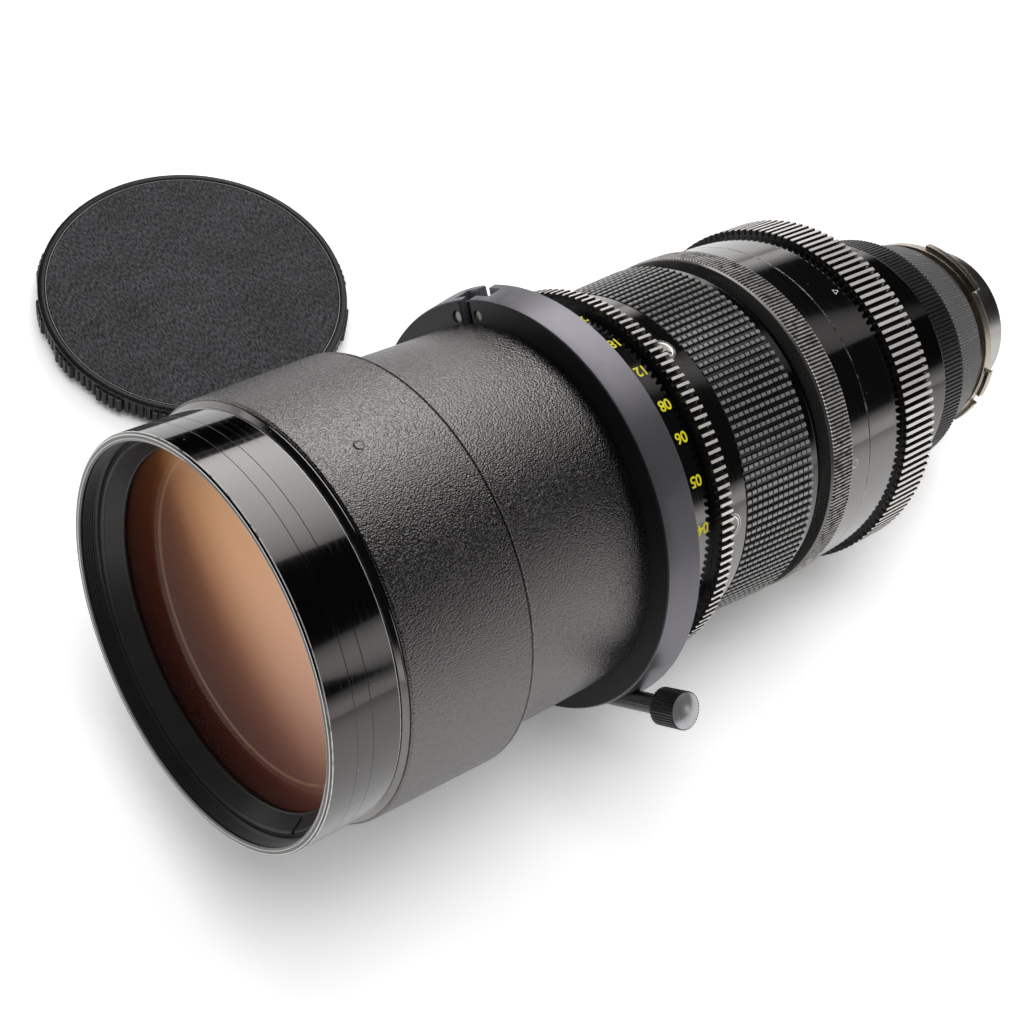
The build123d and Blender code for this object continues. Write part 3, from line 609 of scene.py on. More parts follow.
class Graph(Nodes):
    """The node tree of a new material, with what the finishes share."""

    def __init__(self, name: str) -> None:
        """Start a material with an output and nothing else."""
        self.material = bpy.data.materials.new(name)
        self.material.use_nodes = True
        super().__init__(self.material.node_tree)
        self.tree.nodes.clear()
        self.output = self.add("OutputMaterial")

    def object_coordinates(self) -> Socket:
        """Object coordinates as they are."""
        return self.add("TexCoord").outputs["Object"]

    def lens_coordinates(self) -> Socket:
        """Object coordinates turned and moved into the lens's own frame.

        Returns:
            A socket with Y the station along the axis and X and Z across it, in metres.
        """
        tilt = -np.arctan2(AXIS.along[2], AXIS.along[1])
        turned_origin = Matrix.Rotation(tilt, 3, "X") @ Vector(AXIS.origin)
        mapping = self.add("Mapping", {0: self.object_coordinates()}, vector_type="POINT")
        mapping.inputs["Rotation"].default_value = (tilt, 0, 0)
        mapping.inputs["Location"].default_value = tuple(-turned_origin)
        return mapping.outputs[0]

    def noise(self, where: Socket, scale: float, detail: float = 3.0, rough: float = 0.5) -> Socket:
        """Noise from 0 to 1 at a scale per metre."""
        inputs = {"Vector": where, "Scale": scale, "Detail": detail, "Roughness": rough}
        return self.add("TexNoise", inputs).outputs["Fac"]

    def lathe_lines(self, where: Socket, per_metre: float) -> Socket:
        """Noise that changes only along the axis, as a turning tool leaves it."""
        along = self.add("SeparateXYZ", {0: where}).outputs["Y"]
        inputs = {"W": along, "Scale": per_metre, "Detail": 4.0, "Roughness": 0.7}
        return self.add("TexNoise", inputs, noise_dimensions="1D").outputs["Fac"]

    def bump(self, height: Socket, strength: float, distance: float) -> Socket:
        """Turn a height into a normal."""
        inputs = {"Height": height, "Strength": strength, "Distance": distance}
        return self.add("Bump", inputs).outputs[0]

    def wear(self) -> Socket:
        """How worn the surface is, from the piece's own attribute."""
        return self.add("Attribute", attribute_name="wear").outputs["Fac"]

    def rubbed(self, where: Socket, scale: float, least: float) -> Socket:
        """Where the bare metal shows: the wear, made patchy by a noise and cut off softly."""
        patches = self.stretch(self.noise(where, scale), 0.3, 0.6, least, 1.1)
        return self.stretch(self.times(self.wear(), patches), 0.35, 0.6)

    def end_in(self, shader: bpy.types.Node) -> Finish:
        """End in a shader."""
        self.tree.links.new(shader.outputs[0], self.output.inputs[0])
        return self.material

    def surface(self, colour: Socket, rough: Socket, more: dict) -> Finish:
        """End in a Principled shader.

        Args:
            colour: Its base colour.
            rough: Its roughness.
            more: Values or sockets of its other inputs, by name.

        Returns:
            The finished material.
        """
        inputs = {"Base Color": colour, "Roughness": rough, **more}
        return self.end_in(self.add("BsdfPrincipled", inputs))


@dataclass(frozen=True)
class GlossEnamel:
    """Polished black enamel over turned metal, with faint turning lines, dust and bare edges."""

    name: str = "gloss_enamel"
    colour: Colour = (0.1, 0.095, 0.092)
    rough: float = 0.085
    index: float = 1.45
    dust: Colour = (0.3, 0.29, 0.28)
    bare: Colour = (0.85, 0.83, 0.81)

    def build(self) -> Finish:
        """Build the material."""
        graph = Graph(self.name)
        where = graph.lens_coordinates()
        lines = graph.lathe_lines(where, 900.0)
        smudge = graph.noise(where, 38.0, 5.0, 0.6)
        dust = graph.stretch(graph.noise(where, 900.0, 2.0), 0.74, 0.8)
        edge = graph.rubbed(where, 420.0, 0.55)
        rough = graph.plus(
            graph.stretch(smudge, 0.35, 0.75, self.rough * 0.85, self.rough * 1.35),
            graph.stretch(lines, 0.45, 0.8, 0.0, 0.09),
        )
        rough = graph.plus(graph.plus(rough, dust, 0.3), edge, 0.14)
        height = graph.plus(graph.lathe_lines(where, 140.0), lines, 0.5)
        colour = graph.colours(edge, graph.colours(dust, self.colour, self.dust), self.bare)
        return graph.surface(colour, rough, {
            "Metallic": graph.stretch(edge, 0.0, 1.0, 1.0, 0.6),
            "Coat Weight": 1.0,
            "Coat Roughness": 0.04,
            "Coat IOR": self.index,
            "Normal": graph.bump(height, 0.08, 0.00003),
        })


@dataclass(frozen=True)
class Wrinkle:
    """Black wrinkle paint like fine leather: small crowded cells with glossy crests."""

    name: str = "wrinkle_paint"
    crest: Colour = (0.0032, 0.003, 0.003)
    # Crease colour, darker than the crests: painted shade in the creases
    valley_with_shade: Colour = (0.001, 0.001, 0.001)
    bare: Colour = (0.55, 0.52, 0.5)
    cells: float = 1900.0
    drift: float = 0.00075

    def build(self) -> Finish:
        """Build the material."""
        graph = Graph(self.name)
        where = graph.lens_coordinates()
        drift = graph.add("TexNoise", {"Vector": where, "Scale": 950.0, "Detail": 2.0})
        shift = {0: drift.outputs["Color"], 1: (self.drift,) * 3}
        shift = graph.add("VectorMath", shift, operation="MULTIPLY").outputs[0]
        bent = graph.add("VectorMath", {0: shift, 1: where}, operation="ADD")
        squeezed = graph.add("Mapping", {0: bent.outputs[0]})
        squeezed.inputs["Scale"].default_value = (1.35, 0.8, 1.35)
        squeezed.inputs["Rotation"].default_value = (0.0, 0.3, 0.75)
        inputs = {"Vector": squeezed.outputs[0], "Scale": self.cells, "Smoothness": 0.55}
        cell = graph.add("TexVoronoi", inputs, feature="SMOOTH_F1").outputs["Distance"]
        fine = graph.noise(where, 4200.0, 3.0, 0.6)
        broad = graph.noise(where, 60.0)
        grain = graph.maths("SUBTRACT", graph.times(fine, 0.35), cell)
        valley_with_shade = graph.stretch(cell, 0.25, 0.6)
        edge = graph.stretch(graph.times(graph.wear(), graph.noise(where, 700.0)), 0.3, 0.5)
        # The paint is darker in the creases between cells: painted shade
        paint = graph.colours(valley_with_shade, self.crest, self.valley_with_shade)
        rough = graph.plus(
            graph.stretch(valley_with_shade, 0.0, 1.0, 0.13, 0.26), graph.stretch(broad, 0.35, 0.7, 0.0, 0.04)
        )
        return graph.surface(graph.colours(edge, paint, self.bare), rough, {
            "Metallic": edge,
            "IOR": 2.7,
            "Specular Tint": (1.0, 0.955, 0.935, 1),
            "Normal": graph.bump(grain, 0.95, 0.00014),
        })


@dataclass(frozen=True)
class SatinMetal:
    """Turned metal with a satin surface: fine turning lines, faint stains and worn edges."""

    name: str
    colour: Colour
    bare: Colour
    metal: float = 1.0
    rough: float = 0.3
    index: float = 1.5
    lines: float = 1200.0
    relief: float = 0.25
    patch: float = 0.12
    bare_metal: float = 1.0

    def build(self) -> Finish:
        """Build the material."""
        graph = Graph(self.name)
        where = graph.lens_coordinates()
        lines = graph.lathe_lines(where, self.lines)
        cloud = graph.noise(where, 55.0, 5.0, 0.6)
        scratch = graph.noise(where, 1500.0, 2.0, 0.6)
        edge = graph.rubbed(where, 380.0, 0.6)
        darker = tuple(channel * (1 - self.patch) for channel in self.colour)
        lighter = tuple(min(1.0, channel * (1 + self.patch)) for channel in self.colour)
        base = graph.colours(graph.stretch(cloud, 0.3, 0.7), darker, lighter)
        rough = graph.plus(
            graph.stretch(cloud, 0.3, 0.75, self.rough * 0.85, self.rough * 1.25),
            graph.stretch(lines, 0.4, 0.8, -0.04, 0.06),
        )
        rough = graph.maths("SUBTRACT", rough, graph.times(edge, self.rough * 0.35))
        return graph.surface(graph.colours(edge, base, self.bare), rough, {
            "Metallic": graph.stretch(edge, 0.0, 1.0, self.metal, self.bare_metal),
            "IOR": self.index,
            "Normal": graph.bump(graph.plus(lines, scratch, 0.3), self.relief, 0.00005),
        })


@dataclass(frozen=True)
class GlassWithPaintedLight:
    """Optical glass with a painted reflection: amber and bright at the top, falling to dark red
    below.

    How bright the painted light is grows with the height up the glass and a little to the right,
    and its colour goes from amber on the left to tan on the right. A share of the light passes
    through.
    """

    name: str = "coated_glass"
    veil: float = 0.55
    painted_light_gain: float = 2.7
    rough: float = 0.03
    half_width: float = 0.045
    # Ramps of painted reflection, from dark red low on the glass to bright amber or tan high up
    amber: tuple[tuple[float, Colour], ...] = (
        (0.0, (0.01, 0.003, 0.003)), (0.32, (0.036, 0.008, 0.0036)),
        (0.58, (0.08, 0.022, 0.008)), (0.68, (0.28, 0.115, 0.04)), (0.84, (0.85, 0.47, 0.22)),
    )
    tan: tuple[tuple[float, Colour], ...] = (
        (0.0, (0.01, 0.0035, 0.0035)), (0.32, (0.045, 0.013, 0.009)),
        (0.54, (0.11, 0.04, 0.028)), (0.7, (0.3, 0.15, 0.105)), (0.88, (0.66, 0.4, 0.3)),
    )

    def build(self) -> Finish:
        """Build the material."""
        graph = Graph(self.name)
        where = graph.lens_coordinates()
        split = graph.add("SeparateXYZ", {0: where})
        # Painted light: brighter with the height up the glass and a little to the right
        painted_light_height = graph.plus(split.outputs["Z"], split.outputs["X"], 0.3)
        share = graph.stretch(painted_light_height, -0.05, 0.045)
        hues = []
        for stops in (self.amber, self.tan):
            node = graph.add("ValToRGB", {0: share})
            node.color_ramp.interpolation = "B_SPLINE"
            elements = node.color_ramp.elements
            while len(elements) < len(stops):
                elements.new(0.5)
            for element, (place, colour) in zip(elements, stops):
                element.position = place
                element.color = (*colour, 1)
            hues.append(node.outputs[0])
        side = graph.stretch(split.outputs["X"], -self.half_width, self.half_width)
        hue = graph.colours(side, *hues)
        # Scales how bright the painted reflection is
        tone = graph.add("VectorMath", {0: hue, "Scale": self.painted_light_gain}, operation="SCALE")
        haze = graph.noise(where, 24.0, 4.0)
        rough = graph.stretch(haze, 0.35, 0.7, self.rough, self.rough + 0.04)
        tint = {"IOR": 1.14, "Specular Tint": (1.0, 0.5, 0.28, 1), "Alpha": self.veil}
        return graph.surface(tone.outputs[0], rough, tint)


@dataclass(frozen=True)
class CollarMetal:
    """Satin slate rim whose front face and bevel are black.

    The black starts where the station along the axis falls under the face's.
    """

    name: str = "collar_metal"
    slate: Colour = (0.235, 0.226, 0.248)
    speck: Colour = (0.6, 0.58, 0.6)
    face: Colour = (0.008, 0.008, 0.0085)
    face_station: float = 108.35
    face_blur: float = 0.05

    def build(self) -> Finish:
        """Build the material."""
        graph = Graph(self.name)
        where = graph.lens_coordinates()
        along = graph.add("SeparateXYZ", {0: where}).outputs["Y"]
        cloud = graph.noise(where, 60.0, 5.0, 0.6)
        speck = graph.stretch(graph.noise(where, 520.0, 2.0), 0.76, 0.8)
        lighter = tuple(1.12 * channel for channel in self.slate)
        rim = graph.colours(graph.stretch(cloud, 0.3, 0.7), self.slate, lighter)
        rim = graph.colours(speck, rim, self.speck)
        blur = [(self.face_station + step) * MM for step in (-self.face_blur, self.face_blur)]
        front = graph.stretch(along, *blur, 1.0, 0.0)
        rough = graph.stretch(cloud, 0.3, 0.75, 0.36, 0.44)
        return graph.surface(graph.colours(front, rim, self.face), rough, {
            "Metallic": graph.stretch(front, 0.0, 1.0, 0.85, 0.0),
            "Normal": graph.bump(graph.noise(where, 2600.0, 2.0, 0.6), 0.12, 0.00003),
        })


@dataclass(frozen=True)
class CapCloth:
    """The charcoal covering of the cap: short fibres over a mottled ground."""

    name: str = "cap_cloth"
    ground: Colour = (0.013, 0.012, 0.014)
    fibre: Colour = (0.11, 0.105, 0.114)

    def build(self) -> Finish:
        """Build the material."""
        graph = Graph(self.name)
        where = graph.object_coordinates()
        stretched = graph.add("Mapping", {0: where})
        stretched.inputs["Scale"].default_value = (0.75, 2.0, 1.0)
        stretched.inputs["Rotation"].default_value = (0.0, 0.0, 1.25)
        fibres = graph.noise(stretched.outputs[0], 820.0, 4.0, 0.6)
        cross = graph.noise(where, 1500.0, 3.0, 0.6)
        mottle = graph.noise(where, 70.0, 5.0, 0.65)
        weave = graph.colours(graph.stretch(fibres, 0.4, 0.68), self.ground, self.fibre)
        tone = graph.stretch(mottle, 0.3, 0.7, 0.75, 1.2)
        colour = graph.add("VectorMath", {0: weave, "Scale": tone}, operation="SCALE")
        return graph.surface(colour.outputs[0], graph.stretch(fibres, 0.3, 0.7, 0.75, 0.5), {
            "IOR": 1.45,
            "Sheen Weight": 0.15,
            "Sheen Roughness": 0.4,
            "Normal": graph.bump(graph.plus(fibres, cross, 0.5), 0.9, 0.0006),
        })


@dataclass(frozen=True)
class MouldedPlastic:
    """Moulded black plastic with a fine grain and edges rubbed grey."""

    name: str = "cap_plastic"
    colour: Colour = (0.009, 0.009, 0.0095)
    rubbed: Colour = (0.4, 0.39, 0.38)
    rough: float = 0.28

    def build(self) -> Finish:
        """Build the material."""
        graph = Graph(self.name)
        where = graph.object_coordinates()
        grain = graph.noise(where, 1600.0, 3.0, 0.6)
        cloud = graph.noise(where, 60.0, 4.0)
        edge = graph.stretch(graph.times(graph.wear(), cloud), 0.25, 0.5, 0.0, 0.6)
        lighter = tuple(1.5 * channel for channel in self.colour)
        base = graph.colours(graph.stretch(cloud, 0.35, 0.7), self.colour, lighter)
        rough = graph.stretch(grain, 0.3, 0.7, self.rough * 0.8, self.rough * 1.2)
        more = {"IOR": 1.36, "Normal": graph.bump(grain, 0.3, 0.0001)}
        return graph.surface(graph.colours(edge, base, self.rubbed), rough, more)


@dataclass(frozen=True)
class FilledPaint:
    """Paint rubbed into engraved marks, slightly uneven."""

    name: str
    colour: Colour

    def build(self) -> Finish:
        """Build the material."""
        graph = Graph(self.name)
        uneven = graph.stretch(graph.noise(graph.lens_coordinates(), 900.0), 0.3, 0.6)
        darker = tuple(0.7 * channel for channel in self.colour)
        colour = graph.colours(uneven, darker, self.colour)
        rough = graph.stretch(uneven, 0.0, 1.0, 0.6, 0.42)
        return graph.surface(colour, rough, {"Normal": graph.bump(uneven, 0.2, 0.00005)})


RECIPES = {
    "gloss_black": GlossEnamel(),
    "polished_black": GlossEnamel("polished_black", (0.21, 0.2, 0.194), 0.07, 1.5),
    "textured_black": Wrinkle(),
    "slate": CollarMetal(),
    "black_anodised": SatinMetal(
        "worn_black", (0.012, 0.012, 0.0125), (0.6, 0.57, 0.54), 0.0, 0.3, 1.75, bare_metal=0.5
    ),
    "gear_black": SatinMetal(
        "gear_teeth", (0.007, 0.007, 0.007), (1.0, 0.94, 0.89), 0.0, 0.28, 1.6, bare_metal=0.5
    ),
    "matte_black": SatinMetal(
        "matte_black", (0.02, 0.019, 0.019), (0.5, 0.48, 0.46), 0.0, 0.4, 1.6, 900.0, 0.06,
        bare_metal=0.6,
    ),
    "dark_ribs": SatinMetal(
        "worn_ribs", (0.018, 0.0175, 0.0175), (0.62, 0.59, 0.56), 0.0, 0.3, 1.75, bare_metal=0.5
    ),
    "grip_studs": SatinMetal(
        "grip_studs", (0.006, 0.006, 0.006), (0.34, 0.33, 0.32), 0.0, 0.26, 2.1, bare_metal=0.4
    ),
    "mount_metal": SatinMetal(
        "bright_nickel", (0.68, 0.6, 0.5), (0.95, 0.93, 0.9), 1.0, 0.27, patch=0.1
    ),
    "tube_metal": SatinMetal(
        "turned_tube", (0.62, 0.6, 0.58), (0.95, 0.95, 0.95), 1.0, 0.22, patch=0.06
    ),
    "screw_steel": SatinMetal("screw_steel", (0.32, 0.3, 0.28), (0.9, 0.86, 0.82), 0.8, 0.26),
    "rod_steel": SatinMetal("rod_steel", (0.01, 0.01, 0.011), (0.4, 0.4, 0.4), 0.0, 0.12, 2.2),
    "knob_cap": SatinMetal(
        "knob_silver", (0.6, 0.6, 0.62), (0.95, 0.95, 0.95), 0.8, 0.3, relief=0.1
    ),
    # The glass finishes paint a reflection into their colour; the second glass and spacer ring use
    # it too
    "coated_glass": GlassWithPaintedLight(),
    "deep_glass": GlassWithPaintedLight("deep_glass", 1.0, 1.6, 0.45),
    "deep_rim": GlassWithPaintedLight("deep_rim", 1.0, 2.2, 0.45),
    "clear_glass": GlassWithPaintedLight("clear_glass", 0.03, 1.0),
    "inner_black": SatinMetal(
        "inner_black", (0.006, 0.006, 0.006), (0.1, 0.1, 0.1), 0.0, 0.5, 1.45, relief=0.1
    ),
    "dark_rim": SatinMetal(
        "dark_rim", (0.22, 0.215, 0.21), (0.6, 0.6, 0.6), 0.85, 0.28, 1.6, relief=0.1
    ),
    # Bright orange diffuse colour: a painted glint on the spacer edge seen through the glass
    "bright_ring": SatinMetal("bright_turned", (1.0, 0.62, 0.34), (0.95, 0.9, 0.85), 0.0, 0.3),
    "blade_steel": SatinMetal("blade_steel", (0.05, 0.052, 0.06), (0.4, 0.4, 0.4), 1.0, 0.3),
    "brass": SatinMetal("brass_bush", (0.55, 0.4, 0.18), (0.8, 0.65, 0.35), 1.0, 0.3),
    "cap_plastic": MouldedPlastic(),
    "cap_cloth": CapCloth(),
    "yellow_paint": FilledPaint("yellow_paint", (0.82, 0.74, 0.01)),
    "white_paint": FilledPaint("white_paint", (0.75, 0.75, 0.73)),
    "grey_paint": FilledPaint("grey_paint", (0.3, 0.29, 0.28)),
}


# Sub-assemblies


@dataclass
class SubAssembly:
    """Pieces that are made and dressed together, most of them riding on one body."""

    finishes: dict[str, Finish]
    body: Body = Body.LENS

    def dress(
        self, piece: Piece, finish: str, slot: str = "", body: Optional[Body] = None
    ) -> Piece:
        """Give a finished piece its finish, its body and the node it stands for.

        Args:
            piece: The finished piece. It stands for the node that its name starts with if the
                name ends as such pieces' names do.
            finish: Its finish.
            slot: The record's material slot, if it isn't called as the finish. Not used.
            body: The body it rides on, if it isn't the assembly's.

        Returns:
            The same piece.
        """
        rides = body or self.body
        piece.data.materials.clear()
        piece.data.materials.append(self.finishes[finish])
        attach(piece, rides.value)
        if piece.name.endswith(STANDS_FOR):
            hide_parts(piece.name.removesuffix(STANDS_FOR))
        log.info("%s: %d faces, on %s", piece.name, len(piece.data.polygons), rides.value)
        return piece

    def keep(self, finish: str, *names: str) -> None:
        """Give CAD nodes that stay their finish.

        Args:
            finish: The finish.
            names: The nodes.
        """
        for name in names:
            node = frame["nodes"][name]
            node.data.materials.clear()
            node.data.materials.append(self.finishes[finish])
            log.info("%s: kept, %s", name, finish)

    def second_finish(self, piece: Piece, finish: str, chosen: Array) -> None:
        """Give the chosen faces of a dressed piece a second finish."""
        piece.data.materials.append(self.finishes[finish])
        piece.data.polygons.foreach_set("material_index", chosen.astype(np.int32))


@dataclass
class FrontGroup(SubAssembly):
    """The gloss front ring with its filter thread, the name ring, the glasses and the lip."""

    lip: float = 57.0
    bore: float = 54.6
    thread_start: float = 0.9
    thread_pitch: float = 0.72
    thread_depth: float = 0.5
    thread_turns: int = 6
    notch_angle: float = -26.0
    notch_half: float = 0.85
    notch_floor: float = 8.6
    front_points: int = 40
    rear_points: int = 24

    def thread(self) -> Array:
        """The filter thread, a sawtooth between the bore and a little over it.

        Returns:
            Stations and radii of its corners.
        """
        start = self.thread_start + np.arange(self.thread_turns) * self.thread_pitch
        station = np.stack([start, start + 0.5 * self.thread_pitch], 1).reshape(-1)
        radius = np.tile([self.bore, self.bore + self.thread_depth], self.thread_turns)
        return np.stack([station, radius], 1)

    def front_ring(self) -> tuple[Piece, Array]:
        """The gloss ring: worn double lip, two fine joint lines and the bright rear edge.

        Returns:
            The ring, and which of its faces lie inside the bore.
        """
        corners = [
            (0.0, 55.2), (0.12, 56.0), (0.0, 56.35), (0.55, self.lip),
            (7.7, self.lip), (7.76, self.lip - 0.1), (7.82, self.lip),
            (12.4, self.lip), (12.46, self.lip - 0.12), (12.52, self.lip),
            (20.7, self.lip), (21.2, 56.6), (21.2, 55.5), (30.2, 55.5), (30.2, 52.65),
            (12.0, 52.65), (12.0, 53.5), (5.6, 53.5), (5.6, self.bore),
        ]
        worn = [1.0, 0.0, 1.0, 0.8] + [0.0] * 6 + [1.0, 0.6] + [0.0] * 7
        section, wear = filleted(corners, 0.14, worn)
        extra = np.concatenate([self.thread()[::-1], [[0.4, self.bore]]])
        section = np.concatenate([section, extra])
        wear = np.concatenate([wear, np.zeros(len(extra))])
        low = section[:, 1] < self.bore + self.thread_depth + 0.05
        inside = np.repeat(low & np.roll(low, -1), STEPS)
        return turned("front_ring_piece", section, wear), inside

    def name_ring(self) -> Piece:
        """The bare cone inside the lip, with a notch for the key that screws it home.

        Within half the notch's width of its angle, every station is at least the notch's floor.

        Returns:
            The ring.
        """
        corners = [
            (5.62, 53.4), (5.62, 53.0), (6.3, 52.5), (6.42, 52.5), (10.6, 50.15), (10.8, 49.9),
            (11.5, 49.9), (12.0, 51.4), (12.0, 53.4),
        ]
        section, worn = filleted(corners, 0.12, [0, 0.2, 0, 0, 0, 0, 0, 0, 0])
        half, at = self.notch_half, self.notch_angle
        sides = at + np.array([-half - 0.05, -half, half, half + 0.05])
        angle = np.sort(np.concatenate([once_round(STEPS) - 180, sides]))
        cut = (np.abs(angle - at) <= half + 0.01)[None, :] & (section[:, 1:] > 51.3)
        station = np.repeat(section[:, :1], len(angle), 1)
        station = np.where(cut, np.maximum(station, self.notch_floor), station)
        points = AXIS.place(station, section[:, 1:], angle[None, :]).reshape(-1, 3)
        quads = loop_quads(len(section), len(angle))
        return build_piece("name_ring_piece", points, quads, np.repeat(worn, len(angle)))

    def front_glass(self) -> tuple[Piece, Array]:
        """The bulging front glass.

        Its faces are numbered row by row from the front, then come the front and rear fans.

        Returns:
            The glass, and which of its faces lie on the edge or behind.
        """
        front = arc_section(6.3, 12.1, GLASS_EDGE, self.front_points)
        rear = arc_section(15.7, 19.7, GLASS_EDGE, self.rear_points)[::-1]
        dome = disc_body("front_glass_piece", np.concatenate([front, rear]))
        row = np.arange(len(dome.data.polygons)) // STEPS
        front_fan = self.front_points + self.rear_points - 3
        return dome, (row >= self.front_points - 2) & (row != front_fan)

    def second_glass(self) -> Piece:
        """The second glass behind the spacer.

        Returns:
            The glass.
        """
        front = arc_section(20.7, 23.7, SPACER_BORE)
        rim = [[23.7, GLASS_EDGE], [32.7, GLASS_EDGE], [32.7, 24.0], [32.7, 0.0]]
        return disc_body("second_glass_piece", np.concatenate([front, rim]))

    def build(self) -> None:
        """Make and dress the pieces."""
        front, inside = self.front_ring()
        self.dress(front, "gloss_black")
        self.second_finish(front, "matte_black", inside)
        self.dress(self.name_ring(), "matte_black", "black_anodised")
        dome, behind = self.front_glass()
        self.dress(dome, "coated_glass")
        self.second_finish(dome, "clear_glass", behind)
        # The second glass and the spacer ring carry the painted reflection of the glass finish
        self.dress(self.second_glass(), "deep_glass", "coated_glass")
        bore = SPACER_BORE
        spacer = [(19.75, bore), (19.75, 51.3), (23.65, 51.3), (23.65, bore)]
        self.dress(ring("spacer_ring_piece", spacer, 0.3), "deep_rim", "bright_ring")
        # The spacer edge's bright orange is a painted glint
        edge = [(19.6, bore), (19.6, 46.75), (19.8, 46.9), (20.1, 46.05)]
        self.dress(ring("spacer_edge", edge, 0.1), "bright_ring")
        lip = [(21.2, 55.6), (21.2, 56.9), (22.2, 58.2), (22.7, 58.2), (22.7, 55.6)]
        self.dress(ring("groove_ring_piece", lip, 0.1), "polished_black", "black_anodised")
        self.keep("inner_black", "front_cell")


@dataclass
class Barrels(SubAssembly):
    """The two barrels in wrinkle paint, and the set screws in the front one."""

    def build(self) -> None:
        """Make and dress the pieces."""
        front = [
            (22.7, 55.6), (22.7, 58.6), (23.1, 59.0), (60.35, 60.08), (60.42, 59.7),
            (60.85, 59.7), (60.92, 60.1), (61.35, 60.1), (61.4, 55.6),
        ]
        worn = [0, 0, 0, 0.5, 0, 0, 0, 0.8, 0]
        self.dress(ring("front_barrel_piece", front, 0.3, worn), "textured_black")
        rear = [
            (43.4, 48.1), (43.4, 55.5), (108.0, 55.5), (108.0, 53.2), (118.8, 53.2), (118.8, 48.1),
        ]
        self.dress(ring("mid_barrel_piece", rear), "textured_black")
        # The steel screw heads are dressed near-black: painted shade, so that they read as holes
        shaded_screw_wells = screw_heads("barrel_screws_piece", 36.4, (95.0, 215.0, 335.0), 59.43, 1.5, 0.25)
        self.dress(shaded_screw_wells, "inner_black", "screw_steel")
        self.keep("inner_black", "main_tube")


@dataclass
class Collar(SubAssembly):
    """The split support collar with its link, pins and foot, and the clamp screw."""

    bevel: float = 0.3

    def build(self) -> None:
        """Make and dress the pieces."""
        self.dress(merged_copy("collar_upper", self.bevel), "slate")
        self.dress(merged_copy("collar_lower", self.bevel), "slate")
        self.dress(merged_copy("collar_link", self.bevel), "black_anodised")
        self.keep("screw_steel", "collar_pins")
        self.keep("brass", "foot_bush")
        self.keep("rod_steel", "clamp_rod")
        self.dress(merged_copy("clamp_knob", 0.0), "black_anodised", body=Body.CLAMP)
        self.keep("knob_cap", "knob_cap")


